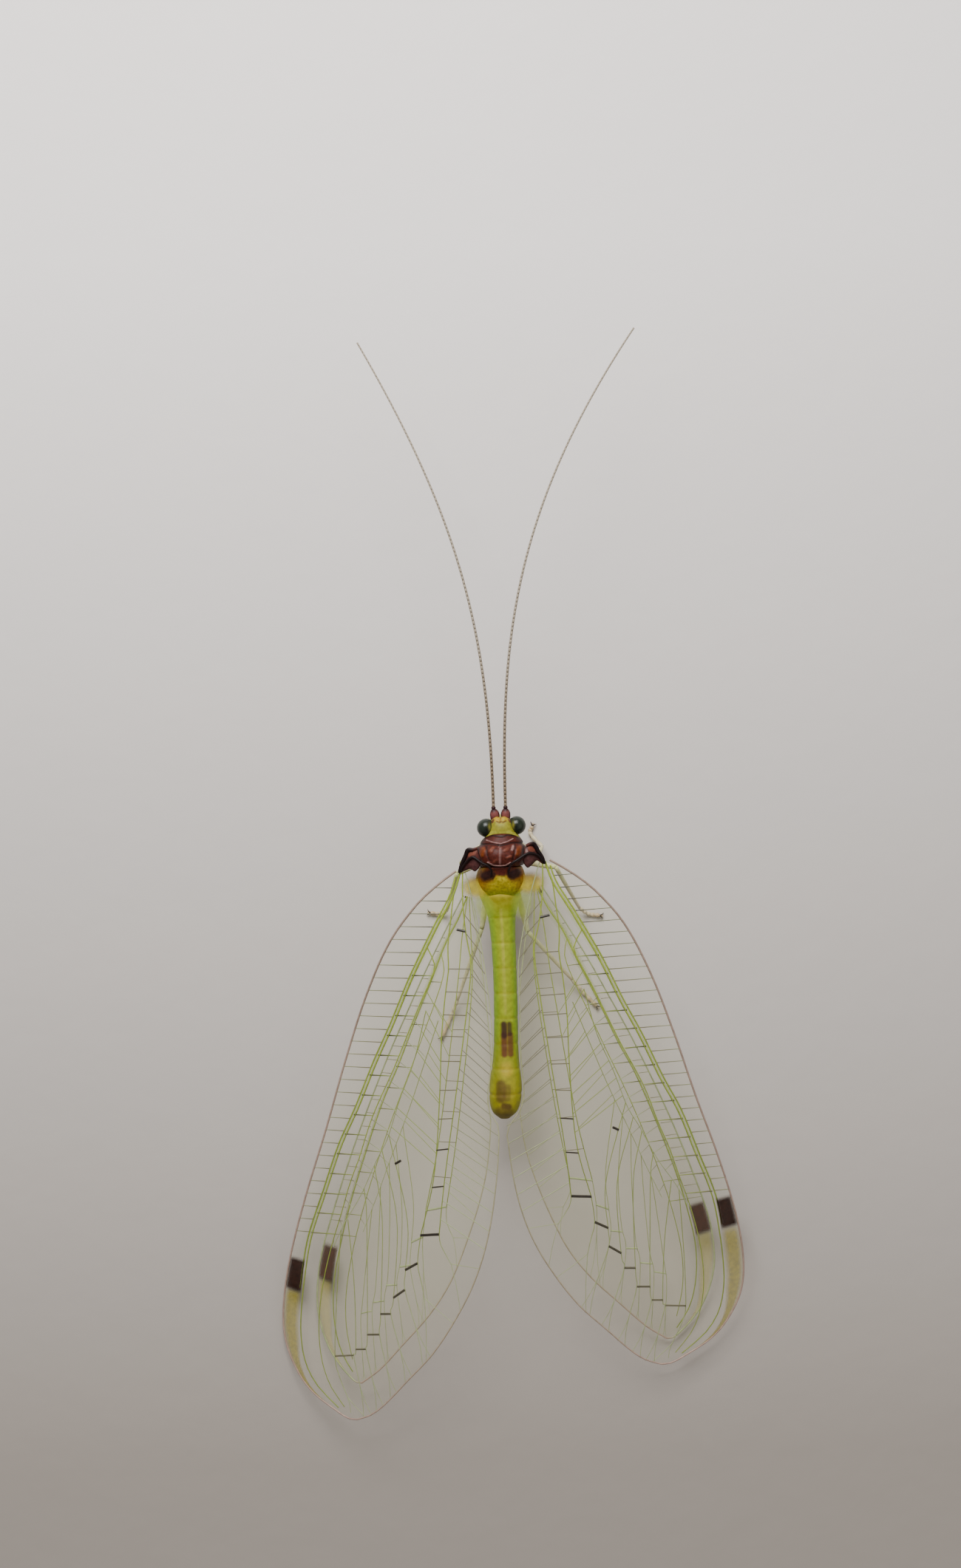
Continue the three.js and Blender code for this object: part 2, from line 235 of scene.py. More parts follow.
def cuticle(name, roughness=0.45, coat=0.2, mottle=0.25, mottle_mm=0.12, bump=0.3, glow=0.0,
            gloss=0.35):
    """Painted insect shell: paint times mottling, uneven shine and a fine grain."""
    material, tree, shader = new_material(name)
    link = tree.links.new
    place = add_node(tree, "ShaderNodeTexCoord")
    paint = add_node(tree, "ShaderNodeAttribute", attribute_name="paint")
    spots = noise(tree, place, mottle_mm, 4.0)
    tint = add_node(tree, "ShaderNodeVectorMath", operation="SCALE")
    link(paint.outputs["Color"], tint.inputs[0])
    link(ranged(tree, spots, 1.0 - mottle, 1.0 + mottle * 0.5, 0.3, 0.7), tint.inputs["Scale"])
    link(tint.outputs["Vector"], shader.inputs["Base Color"])
    link(ranged(tree, spots, roughness * 0.75, roughness * 1.25), shader.inputs["Roughness"])
    bumps(tree, noise(tree, place, mottle_mm / 4, 3.0), bump, GRAIN_DEPTH)
    fill(shader, {"Coat Weight": coat, "Coat Roughness": 0.3, "Specular IOR Level": gloss,
                  "Subsurface Weight": glow, "Subsurface Radius": (1.0, 0.8, 0.4),
                  "Subsurface Scale": GLOW_DEPTH * MM})
    return material


HEAD = cuticle("head shell", roughness=0.5, coat=0.04, glow=0.2, gloss=0.22)
THORAX = cuticle("dark thorax shell", roughness=0.5, coat=0.03, mottle=0.4, mottle_mm=0.09, gloss=0.18)
ABDOMEN = cuticle("soft abdomen", roughness=0.55, coat=0.06, mottle=0.2, mottle_mm=0.16, glow=0.3)
FEELER = cuticle("feeler", roughness=0.55, coat=0.05, mottle=0.2, mottle_mm=0.06)
LEG = cuticle("leg shell", roughness=0.45, coat=0.15, mottle=0.15, glow=0.35)
VEIN = cuticle("wing vein", roughness=0.4, coat=0.2, mottle=0.2, mottle_mm=0.2, glow=0.2)
print("materials made:", len(bpy.data.materials))

# %% [markdown]
# ## Small mesh builders
# Every skin is a closed mesh of rings: a ball is rings between two poles, a limb is rings along
# a path. Building them point by point keeps the exact shape in view, and a paint function can
# look at each point's place and choose its colour.


# %% Mesh builders
def make_piece(name, points, faces, material, paint=None):
    """A mesh object at the origin from points in millimetres; paint is a colour, and if given a
    strength, for every point."""
    mesh = bpy.data.meshes.new(name)
    mesh.from_pydata([here(*p) for p in points], [], faces)
    mesh.polygons.foreach_set("use_smooth", [True] * len(mesh.polygons))
    if paint:
        layer = mesh.color_attributes.new("paint", "FLOAT_COLOR", "POINT")
        layer.data.foreach_set("color", [c for colour in paint for c in (*colour, 1.0)[:4]])
    mesh.materials.append(material)
    mesh.update()
    piece = bpy.data.objects.new(name, mesh)
    bpy.context.collection.objects.link(piece)
    return piece


def dress(piece, slot, *nodes):
    """The piece rides on the body and stands for the solids it covers; its slot is not used."""
    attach(piece, "root")
    if nodes:
        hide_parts(*nodes)


def let_light_through(piece):
    """A film this thin throws no shadow of its own; only the veins on it do."""
    piece.visible_shadow = False
    return piece


def volume(points, faces):
    """Six times the signed volume: negative when the faces look inward."""
    total = 0.0
    for face in faces:
        a = Vector(points[face[0]])
        for i in range(1, len(face) - 1):
            total += a.dot(Vector(points[face[i]]).cross(Vector(points[face[i + 1]])))
    return total


def stitch(rings):
    """Points and outward faces of a closed skin through rings of equal count."""
    sides = len(rings[0])
    points = [p for ring in rings for p in ring]
    faces = []
    for r in range(len(rings) - 1):
        for s in range(sides):
            a, b = r * sides + s, r * sides + (s + 1) % sides
            faces.append((a, b, b + sides, a + sides))
    for ring, is_end in ((rings[0], False), (rings[-1], True)):
        points.append(tuple(sum(c) / sides for c in zip(*ring)))
        hub = len(points) - 1
        base = (len(rings) - 1) * sides if is_end else 0
        for s in range(sides):
            a, b = base + s, base + (s + 1) % sides
            faces.append((a, b, hub) if is_end else (b, a, hub))
    if volume(points, faces) < 0:
        faces = [face[::-1] for face in faces]
    return points, faces


def tube_rings(path, radii, sides=12, flat=1.0):
    """Rings square to a path; flat squeezes them in height."""
    spots = [Vector(p) for p in path]
    rings = []
    for i, spot in enumerate(spots):
        ahead = (spots[min(i + 1, len(spots) - 1)] - spots[max(i - 1, 0)]).normalized()
        side = ahead.cross(Vector((0, 0, 1)))
        side = side.normalized() if side.length > 1e-6 else Vector((1, 0, 0))
        top = side.cross(ahead).normalized() * flat
        turns = [2 * math.pi * s / sides for s in range(sides)]
        rings.append([tuple(spot + (side * math.cos(a) + top * math.sin(a)) * radii[i]) for a in turns])
    return rings


def tube_piece(name, path, radii, material, colours, sides=12, flat=1.0):
    """A closed limb along a path, its colours given per path point."""
    rings = tube_rings(path, radii, sides, flat)
    points, faces = stitch(rings)
    paint = [colours[i] for i in range(len(rings)) for _ in range(sides)]
    return make_piece(name, points, faces, material, paint + [colours[0], colours[-1]])


def distance_to(path, x, y):
    """How far a point is from a bent line in plan."""
    best = 1e9
    for (ax, ay), (bx, by) in zip(path, path[1:]):
        dx, dy = bx - ax, by - ay
        share = min(max(((x - ax) * dx + (y - ay) * dy) / (dx * dx + dy * dy or 1), 0), 1)
        best = min(best, math.hypot(x - ax - share * dx, y - ay - share * dy))
    return best


def draw_marks(base, marks, x, y):
    """Soft strokes over a base colour; a mark is (path, half width, colour, strength, rise)."""
    colour = base
    for path, width, mark, strength, _ in marks:
        share = strength * (1 - smooth_step(width * 0.5, width * 1.3, distance_to(path, x, y)))
        colour = blend(colour, mark, share)
    return colour


def raise_marks(marks, x, y):
    """How far the same strokes lift the surface or sink it."""
    total = 0.0
    for path, width, _, _, rise in marks:
        if rise:
            total += rise * math.exp(-(distance_to(path, x, y) / width) ** 2)
    return total


print("mesh builders ready")

# %% [markdown]
# ## The view, the floor and the light
# The photograph looks straight down on the insect's back, so the camera hangs above a pale
# floor. Its lens comes from the size of the forewing, 20 mm, which fills a third of the picture's
# height. Soft light from two wide panels and a bright room leaves only faint shadows.

# %% Camera
CAMERA_HEIGHT = 90.0
CAMERA_OVER = (-0.688, 2.432)
CLOSEST_SEEN = 0.001
IMAGE_LONG_SIDE_PX = 2122
LENS_PX = 3211
SENSOR_MM = 36.0
BODY_TURN = math.radians(1.68)
camera_data = bpy.data.cameras.new("camera")
camera_data.sensor_width = SENSOR_MM
camera_data.lens = LENS_PX / IMAGE_LONG_SIDE_PX * SENSOR_MM
camera_data.clip_start = CLOSEST_SEEN
camera = bpy.data.objects.new("camera", camera_data)
camera.location = here(*CAMERA_OVER, CAMERA_HEIGHT)
camera.rotation_euler = (0, 0, -BODY_TURN)
bpy.context.collection.objects.link(camera)
bpy.context.scene.camera = camera
print("lens", round(camera_data.lens, 1), "mm")

# %% Floor and lights
FLOOR_HALF = 400
FLOOR_DARK_FROM = -22
FLOOR_PALE_FROM = 24
FLOOR_GRAIN = 1.5


def plaster_material():
    """A pale wall with painted shade, a little greyer with distance from the window."""
    material, tree, shader = new_material("plaster floor")
    link = tree.links.new
    fill(shader, {"Roughness": 0.85})
    place = add_node(tree, "ShaderNodeTexCoord")
    parts = add_node(tree, "ShaderNodeSeparateXYZ")
    link(place.outputs["Object"], parts.inputs["Vector"])
    # painted shade: a grey tone far from the window blends into a pale one near it
    tones = {"A": (*srgb(0xA0978E), 1), "B": (*srgb(0xEAE4E0), 1)}
    tone = add_node(tree, "ShaderNodeMix", tones, data_type="RGBA")
    paleness = ranged(tree, parts.outputs["Y"], 0.0, 1.0, FLOOR_DARK_FROM * MM, FLOOR_PALE_FROM * MM)
    link(paleness, tone.inputs["Factor"])
    link(tone.outputs["Result"], shader.inputs["Base Color"])
    bumps(tree, noise(tree, place, FLOOR_GRAIN), 0.12, 0.2)
    return material


corners = ((-1, -1), (1, -1), (1, 1), (-1, 1))
floor_points = [(sx * FLOOR_HALF, sy * FLOOR_HALF, 0) for sx, sy in corners]
floor = make_piece("floor", floor_points, [(0, 1, 2, 3)], plaster_material())


def panel_light(name, place, aim_at, size, watts, colour=(1, 1, 1)):
    """A square lamp hung at a place and turned to what it lights."""
    data = bpy.data.lights.new(name, "AREA")
    data.size = size * MM
    data.energy = watts
    data.color = colour
    lamp = bpy.data.objects.new(name, data)
    lamp.location = here(*place)
    aim = here(*aim_at) - lamp.location
    lamp.rotation_euler = aim.to_track_quat("-Z", "Y").to_euler()
    bpy.context.collection.objects.link(lamp)


panel_light("window", (-14, 70, 70), (0, 24, 0), 60, 0.17)
panel_light("far wall", (220, -60, 240), (0, 0, 0), 240, 0.12, (1.0, 0.97, 0.93))
world = bpy.data.worlds.new("room")
world.use_nodes = True
fill(world.node_tree.nodes["Background"], {"Color": (1.0, 0.97, 0.94, 1), "Strength": 0.3})
bpy.context.scene.world = world

# %% [markdown]
# ## The trunk's plates
# The trunk is a row of hard plates, each a short barrel: rings that follow the body's half width,
# back, belly and middle line. The rings could be modelled by hand and mirrored; here four outlines
# along the body give them, because outlines are easy to measure, and the same marks that colour
# the back raise its lobes and sink its seams.

# %% Plate builder
RING_SIDES = 150
TRUNK_LEVEL = 2.95
END_SHRINK = 0.3


def boxy(value, power=0.85):
    """A power under 1 pushes a circle's sine or cosine out towards a box."""
    return math.copysign(abs(value) ** power, value)


def barrel(name, front, back, outlines, marks, colour_at, material, rings=90, round_off=0.05):
    """A closed plate between two places along the body, its top lifted where its marks say so."""
    half_width, top, belly, sway = outlines
    ring_list = []
    for i in range(rings + 1):
        y = (front + back) / 2 + (front - back) / 2 * math.cos(math.pi * i / rings)
        edge = min(front - y, y - back)
        rounding = math.sqrt(max(1 - (1 - min(edge / round_off, 1)) ** 2, 0))
        shrink = 1 - END_SHRINK + END_SHRINK * rounding
        wide, high, low = along(half_width, y) * shrink, along(top, y), along(belly, y)
        ring = []
        for s in range(RING_SIDES):
            around = 2 * math.pi * s / RING_SIDES
            across, rise = math.cos(around), math.sin(around)
            px = along(sway, y) + boxy(across) * wide
            reach = (high - TRUNK_LEVEL) * shrink ** 0.5 if rise > 0 else (TRUNK_LEVEL - low) * shrink
            pz = TRUNK_LEVEL + boxy(rise, 0.9) * reach
            if rise > 0:
                pz += raise_marks(marks, px, y) * rise
            ring.append((px, y, pz))
        ring_list.append(ring)
    points, faces = stitch(ring_list)
    return make_piece(name, points, faces, material, [colour_at(*p) for p in points])


TRUNK_HALF = [(-1.75, 0.58), (-1.62, 0.7), (-1.4, 0.84), (-1.1, 0.92), (-0.8, 0.86), (-0.62, 0.8),
              (-0.48, 0.9), (-0.3, 0.95), (-0.1, 0.97), (0.05, 0.95), (0.13, 0.89), (0.2, 0.78),
              (0.28, 0.78), (0.39, 0.71), (0.5, 0.58), (0.59, 0.42), (0.62, 0.3)]
TRUNK_TOP = [(-1.75, 3.2), (-1.62, 3.34), (-1.4, 3.5), (-1.1, 3.62), (-0.8, 3.72), (-0.62, 3.8),
             (-0.45, 3.94), (-0.2, 4.0), (0.0, 3.95), (0.14, 3.84), (0.3, 3.7), (0.45, 3.64),
             (0.56, 3.56), (0.62, 3.44)]
TRUNK_BELLY = [(-1.62, 2.15), (-1.1, 2.05), (-0.6, 2.05), (0.0, 2.08), (0.3, 2.3), (0.62, 2.5)]
TRUNK_SWAY = [(-1.62, -0.06), (-0.6, -0.04), (0.0, -0.02), (0.3, 0.03), (0.62, 0.03)]
print("trunk is", round(max(w for _, w in TRUNK_HALF) * 2, 2), "mm wide")

# %% Pattern of the back
BACK_PAINT_FROM = 3.2
META_PAINT_FROM = 3.1
BLACK, PALE, PAINTED_HIGHLIGHT = C["nearly_black"], C["pale_line"], C["chestnut_light"]
BACK_MARKS = [
    ([(-0.72, -0.14), (-0.66, 0.04)], 0.1, C["orange_brown"], 0.6, 0.05),
    ([(0.58, -0.16), (0.66, 0.06)], 0.1, C["orange_brown"], 0.6, 0.05),
    # painted highlights: the next five strokes, lighter chestnut and pale pink on the raised lobes, stand
    # for shine on the shell
    ([(-0.4, -0.02), (-0.32, 0.08)], 0.07, PAINTED_HIGHLIGHT, 0.75, 0.05),
    ([(0.12, 0.0), (0.22, 0.05)], 0.06, PAINTED_HIGHLIGHT, 0.6, 0.03),
    ([(0.4, 0.02), (0.43, 0.14)], 0.05, PALE, 0.55, 0.04),
    ([(0.2, -0.28), (0.34, -0.22)], 0.05, PAINTED_HIGHLIGHT, 0.6, 0.03),
    ([(-0.3, -0.42), (-0.2, -0.36)], 0.05, PAINTED_HIGHLIGHT, 0.35, 0.02),
    ([(-0.54, 0.16), (-0.52, -0.14), (-0.44, -0.36)], 0.03, BLACK, 0.75, -0.05),
    ([(0.5, 0.2), (0.48, -0.1), (0.4, -0.36)], 0.03, BLACK, 0.7, -0.05),
    ([(-0.84, 0.06), (-0.82, -0.3), (-0.66, -0.5)], 0.035, BLACK, 0.8, -0.05),
    ([(0.8, 0.1), (0.78, -0.26), (0.6, -0.44)], 0.035, BLACK, 0.8, -0.05),
    ([(-0.06, 0.2), (-0.08, -0.5)], 0.03, PALE, 0.3, -0.02),
    ([(-0.72, 0.22), (-0.4, 0.24), (0.0, 0.17), (0.4, 0.26), (0.76, 0.24)], 0.035, BLACK, 0.7, -0.05),
    ([(-0.53, 0.38), (-0.27, 0.29), (-0.02, 0.25), (0.22, 0.31), (0.44, 0.41)], 0.02, PALE, 0.55, 0.02),
    ([(-0.44, 0.56), (-0.2, 0.52), (0.04, 0.49), (0.24, 0.54), (0.46, 0.52)], 0.035, BLACK, 0.8, -0.02),
    ([(-0.52, -0.42), (-0.3, -0.54), (-0.08, -0.57), (0.14, -0.55), (0.32, -0.45)], 0.024, PALE,
     0.75, 0.03),
    ([(-0.56, -0.48), (-0.32, -0.6), (-0.08, -0.63), (0.16, -0.61), (0.38, -0.5)], 0.03, BLACK,
     0.9, -0.04),
]
META_MARKS = [
    ([(-0.42, -0.7), (-0.04, -0.72), (0.34, -0.68)], 0.25, C["chestnut"], 1.0, 0.0),
    ([(-0.62, -0.94), (-0.46, -0.9)], 0.27, C["orange_brown"], 0.8, 0.0),
    ([(0.4, -0.91), (0.56, -0.86)], 0.27, C["orange_brown"], 0.8, 0.0),
    ([(-0.62, -0.93), (-0.46, -0.88)], 0.2, C["purple_brown"], 0.95, 0.07),
    ([(0.38, -0.9), (0.54, -0.84)], 0.2, C["purple_brown"], 0.95, 0.07),
    ([(-0.12, -0.8), (0.02, -0.84)], 0.12, C["chestnut"], 0.9, 0.0),
    ([(-0.1, -1.12), (0.02, -1.16)], 0.17, C["yellow"], 1.0, 0.05),
    ([(-0.3, -0.72), (-0.26, -0.9), (-0.34, -1.04)], 0.03, BLACK, 0.7, -0.04),
    ([(0.22, -0.7), (0.18, -0.88), (0.26, -1.02)], 0.03, BLACK, 0.7, -0.04),
]


def back_colour(x, y, z):
    flank = 0.7 * smooth_step(0.7, 0.92, abs(x))
    base = blend(C["chestnut"], BLACK, max(smooth_step(3.7, 3.0, z), flank))
    return draw_marks(base, BACK_MARKS, x, y) if z > BACK_PAINT_FROM else base


def meta_colour(x, y, z):
    base = blend(C["yellow"], C["orange"], smooth_step(0.25, 0.8, abs(x)))
    base = blend(C["green"], base, smooth_step(-1.75, -1.3, y))
    if z <= META_PAINT_FROM:
        return blend(base, C["face"], 0.4)
    return draw_marks(base, META_MARKS, x, y)


outlines = (TRUNK_HALF, TRUNK_TOP, TRUNK_BELLY, TRUNK_SWAY)
back = barrel("thorax_front", 0.62, -0.62, outlines, BACK_MARKS, back_colour, THORAX, 110)
dress(back, "dark_thorax", "pronotum", "mesothorax")
rear = barrel("thorax_rear", -0.6, -1.75, outlines, META_MARKS, meta_colour, THORAX, 70)
dress(rear, "yellow_thorax", "metathorax")
print("trunk skins:", back.name, rear.name)

# %% [markdown]
# ## The abdomen
# Nine rings of soft cuticle could be nine pieces, but the skin between them is continuous, so one
# skin runs the whole length and its radius dips at each join. Its paint is yellow-green with a
# pale stripe along the middle and a few brown marks near the end.

# %% Abdomen
ABDOMEN_FRONT = -1.57
ABDOMEN_END = -9.9
ABDOMEN_LENGTH = ABDOMEN_FRONT - ABDOMEN_END
ABDOMEN_LEVEL = 2.62
ABDOMEN_PLATES = 9
ABDOMEN_INSIDE = 0.37
ABDOMEN_RINGS = 240
ABDOMEN_SIDES = 64
ABDOMEN_HALF = [(-ABDOMEN_INSIDE, 0.5), (-0.15, 0.66), (0.1, 0.75), (0.35, 0.67), (0.75, 0.54),
                (1.35, 0.46), (2.5, 0.43), (4.4, 0.43), (6.0, 0.46), (7.1, 0.58), (7.7, 0.56),
                (8.1, 0.42), (8.33, 0.16)]
ABDOMEN_BEND = [(0, -0.08), (2.5, 0), (4.4, 0), (7, -0.08), (8.33, -0.16)]
BROWN = C["brown_mark"]
ABDOMEN_MARKS = [
    ([(-0.07, -2.2), (-0.03, -4.0)], 0.06, C["green_pale"], 0.7, 0),
    ([(-0.03, -4.0), (-0.02, -6.0)], 0.06, C["green_pale"], 0.5, 0),
    ([(-0.1, -6.8), (-0.1, -7.5)], 0.13, C["rust"], 0.9, 0),
    ([(0.13, -6.8), (0.13, -7.5)], 0.12, C["rust"], 0.85, 0),
    ([(-0.09, -6.4), (-0.08, -6.8)], 0.13, C["red_brown"], 0.95, 0),
    ([(0.11, -6.4), (0.12, -6.75)], 0.1, C["red_brown"], 0.85, 0),
    ([(0.02, -6.3), (0.02, -7.4)], 0.022, C["orange"], 0.25, 0),
    ([(-0.05, -7.98), (-0.03, -8.12)], 0.22, C["yellow"], 0.9, 0),
    ([(-0.26, -8.6), (-0.28, -9.1)], 0.2, BROWN, 0.7, 0),
    ([(-0.02, -8.7), (-0.04, -9.1)], 0.14, BROWN, 0.5, 0),
    ([(-0.17, -9.38), (0.0, -9.42)], 0.13, BROWN, 0.8, 0),
    ([(-0.34, -9.6), (-0.02, -9.62)], 0.2, C["olive_brown"], 0.7, 0),
]


def abdomen_colour(x, y, z):
    distance = ABDOMEN_FRONT - y
    away = abs(x - along(ABDOMEN_BEND, distance)) / max(along(ABDOMEN_HALF, distance), 0.1)
    base = blend(C["green"], C["green_side"], smooth_step(0.35, 0.85, away))
    base = blend(base, C["yellow"], 0.6 * smooth_step(4.6, 8.0, distance))
    base = blend(base, C["rust"], 0.16 * smooth_step(4.6, 6.4, distance))
    base = blend(C["yellow"], base, smooth_step(-0.2, 0.9, distance))
    base = blend(base, C["olive_brown"], 0.7 * smooth_step(7.95, 8.33, distance))
    base = blend(base, C["green_pale"], 0.5 * smooth_step(2.7, 2.2, z))
    share = (distance / ABDOMEN_LENGTH * ABDOMEN_PLATES) % 1
    ring_line = 1 - smooth_step(0.02, 0.08, min(share, 1 - share))
    base = blend(base, C["amber"], 0.1 * ring_line)
    return draw_marks(base, ABDOMEN_MARKS, x, y) if z > ABDOMEN_LEVEL else base


def abdomen_ring(distance):
    """One ring of the abdomen, dipped at the joins and folded a little along its sides."""
    share = distance / ABDOMEN_LENGTH * ABDOMEN_PLATES
    join = math.exp(-(((share + 0.5) % 1 - 0.5) / 0.07) ** 2) if distance > 0.5 else 0
    radius = along(ABDOMEN_HALF, distance) * (1 - 0.03 * join)
    middle = along(ABDOMEN_BEND, distance)
    ring = []
    for s in range(ABDOMEN_SIDES):
        turn = 2 * math.pi * s / ABDOMEN_SIDES
        fold = 0.05 * math.exp(-((math.sin(turn) + 0.15) / 0.12) ** 2)
        reach = radius * (1 + 0.03 * math.cos(2 * turn) - fold)
        ring.append((middle + reach * math.cos(turn), ABDOMEN_FRONT - distance,
                     ABDOMEN_LEVEL + reach * math.sin(turn)))
    return ring


skin_length = ABDOMEN_LENGTH + ABDOMEN_INSIDE
points, faces = stitch([abdomen_ring(skin_length * i / ABDOMEN_RINGS - ABDOMEN_INSIDE)
                        for i in range(ABDOMEN_RINGS + 1)])
abdomen = make_piece("abdomen", points, faces, ABDOMEN, [abdomen_colour(*p) for p in points])
dress(abdomen, "abdomen", *[f"abdomen_{i}" for i in range(1, 9)], "abdomen_tip")
print("abdomen points:", len(points))

# %% [markdown]
# ## The head
# A lacewing's head is a small rounded box between two big eyes, with two swellings in front that
# carry the feelers. A ball is pushed into that shape by a function of direction, which keeps one
# closed skin with no joins.


# %% Head skin
def sculpt(name, shape, columns, rows, material, colour_at):
    """A ball with its poles fore and aft; shape turns a direction into a place."""
    ring_list = []
    for r in range(1, rows):
        polar = math.pi * r / rows
        wide, ahead = math.sin(polar), math.cos(polar)
        turns = [2 * math.pi * c / columns for c in range(columns)]
        ring_list.append([shape(wide * math.cos(a), ahead, wide * math.sin(a)) for a in turns])
    points, faces = stitch(ring_list)
    points[-2] = shape(0, 1, 0)
    points[-1] = shape(0, -1, 0)
    return make_piece(name, points, faces, material, [colour_at(*p) for p in points])


HEAD_HALF = [(0.3, 0.62), (0.37, 0.7), (0.48, 0.64), (0.6, 0.56), (0.77, 0.48), (0.92, 0.44),
             (1.05, 0.41), (1.13, 0.34), (1.18, 0.22)]
HEAD_TOP = [(0.3, 3.3), (0.4, 3.38), (0.6, 3.46), (0.8, 3.47), (0.98, 3.42), (1.08, 3.33),
            (1.18, 3.15)]
HEAD_BELLY = [(0.3, 2.55), (0.5, 2.32), (0.8, 2.22), (1.0, 2.25), (1.12, 2.45), (1.18, 2.7)]
HEAD_SWAY = [(0.3, 0.045), (0.8, 0.045), (1.18, 0.02)]
HEAD_MIDDLE = 0.74
HEAD_REACH = 0.44
HEAD_LEVEL = 2.93
SWELLINGS = (-0.15, 0.15)
SWELLING_HALF = 0.12
FACE_TOP = 2.9
HEAD_MARKS = [
    ([(-0.36, 1.05), (-0.3, 1.02), (-0.26, 1.1)], 0.045, C["blush"], 0.9, -0.02),
    ([(0.44, 1.04), (0.36, 1.02), (0.32, 1.1)], 0.045, C["blush"], 0.9, -0.02),
    ([(-0.14, 1.04), (-0.04, 1.0), (0.03, 1.03), (0.1, 1.0), (0.2, 1.05)], 0.03, C["blush"], 0.7, -0.02),
    ([(0.0, 1.03), (0.01, 1.3)], 0.022, C["blush"], 0.8, -0.03),
    ([(-0.6, 0.5), (-0.3, 0.66), (0.0, 0.62), (0.3, 0.66), (0.66, 0.46)], 0.06, C["green_pale"], 0.5, 0.0),
]


def head_shape(dx, dy, dz):
    """The head's surface in a direction, the pole of the ball pointing forward."""
    y = HEAD_MIDDLE + HEAD_REACH * dy
    size = math.sqrt(max(1 - dy * dy, 1e-9))
    around, rise = dx / size, dz / size
    full = smooth_step(0.0, 0.5, size)
    x = along(HEAD_SWAY, y) + boxy(around) * along(HEAD_HALF, y) * full
    reach = along(HEAD_TOP, y) - HEAD_LEVEL if rise > 0 else HEAD_LEVEL - along(HEAD_BELLY, y)
    z = HEAD_LEVEL + boxy(rise) * reach * full
    for middle in SWELLINGS:
        push = math.exp(-((x - middle) / SWELLING_HALF) ** 2)
        push *= smooth_step(2.75, 3.1, z) * smooth_step(0.98, 1.12, y)
        y += 0.07 * push
        z += 0.03 * push
    z += raise_marks(HEAD_MARKS, x, y) if rise > 0 else 0
    return x, y, z


def head_colour(x, y, z):
    if z < FACE_TOP:
        return blend(C["face"], C["vertex"], smooth_step(FACE_TOP - 0.4, FACE_TOP, z))
    in_front = smooth_step(1.0, 1.1, y) * smooth_step(0.3, 0.24, abs(x - 0.01))
    base = blend(C["vertex"], C["frons"], in_front)
    return draw_marks(base, HEAD_MARKS, x, y)


head = sculpt("head", head_shape, 128, 96, HEAD, head_colour)
dress(head, "head", "head_capsule")


def egg_shape(centre, half):
    """A shape for sculpt: an egg with its own half size along each axis."""
    return lambda dx, dy, dz: tuple(c + h * d for c, h, d in zip(centre, half, (dx, dy, dz)))


face = sculpt("face", egg_shape((0.02, 1.1, 2.52), (0.29, 0.2, 0.34)), 32, 24, HEAD,
              lambda x, y, z: blend(C["face"], C["amber"], smooth_step(2.35, 2.2, z)))
dress(face, "head", "clypeus_labrum")
print("head skins:", head.name, face.name)

# %% [markdown]
# ## The eyes
# A compound eye is a dome of thousands of tiny lenses. Modelling them would cost far more mesh
# than the eye is worth; a cell pattern used as relief gives the grain, and paint adds the dark
# false pupil, a painted gold-green glint on the inner side and a painted paler sheen at the rim.

# %% Eyes
LENS_WIDTH = 0.022
LENS_DEPTH = 0.004


def eye_material():
    """Dark shell whose grain is the cells of the lenses."""
    material = cuticle("eye glass", roughness=0.24, coat=0.03, mottle=0.15, mottle_mm=0.1, bump=0.0,
                       gloss=0.3)
    tree = material.node_tree
    lenses = add_node(tree, "ShaderNodeTexVoronoi", {"Scale": 1 / (LENS_WIDTH * MM), "Randomness": 0.15})
    relief = first_of(tree, "ShaderNodeBump")
    relief.invert = True
    fill(relief, {"Strength": 0.5, "Distance": LENS_DEPTH * MM})
    place = first_of(tree, "ShaderNodeTexCoord")
    tree.links.new(place.outputs["Object"], lenses.inputs["Vector"])
    tree.links.new(lenses.outputs["Distance"], relief.inputs["Height"])
    return material


EYE = eye_material()
EYE_DARK = srgb(0x20271E)
EYE_RIM_SHEEN = srgb(0x333B34)
EYE_GLINT_GOLD = srgb(0x7A7420)
EYE_PUPIL = srgb(0x050604)
for side, sign in (("left", -1), ("right", 1)):
    centre = EYE_CENTRES[side]

    def eye_colour(x, y, z, centre=centre, sign=sign):
        across, forward = (x - centre.x) * sign / EYE_RADIUS, (y - centre.y) / EYE_RADIUS
        rim = math.hypot(across, forward)
        # painted reflections: a paler sheen towards the rim and a gold-green glint on the inner side
        colour = blend(EYE_DARK, EYE_RIM_SHEEN, smooth_step(0.75, 1.0, rim))
        glint = math.exp(-(((across + 0.36) / 0.15) ** 2 + ((forward - 0.02) / 0.4) ** 2))
        pupil = math.exp(-(((across + 0.1) / 0.2) ** 2 + ((forward + 0.2) / 0.28) ** 2))
        return blend(blend(colour, EYE_GLINT_GOLD, 0.9 * glint), EYE_PUPIL, 0.9 * pupil)

    eye = sculpt(f"eye_{side}_dome", egg_shape(centre, (EYE_RADIUS,) * 3), 64, 40, EYE, eye_colour)
    dress(eye, "eye", f"eye_{side}")
print("eyes are", 2 * EYE_RADIUS, "mm across")

# %% [markdown]
# ## Mouthparts
# Jaws and palps, the small feelers of the mouth, hide under the head when it is seen from above.
# They could be left to the head's own skin, but the model can be turned over, so each gets a simple
# tapered skin.

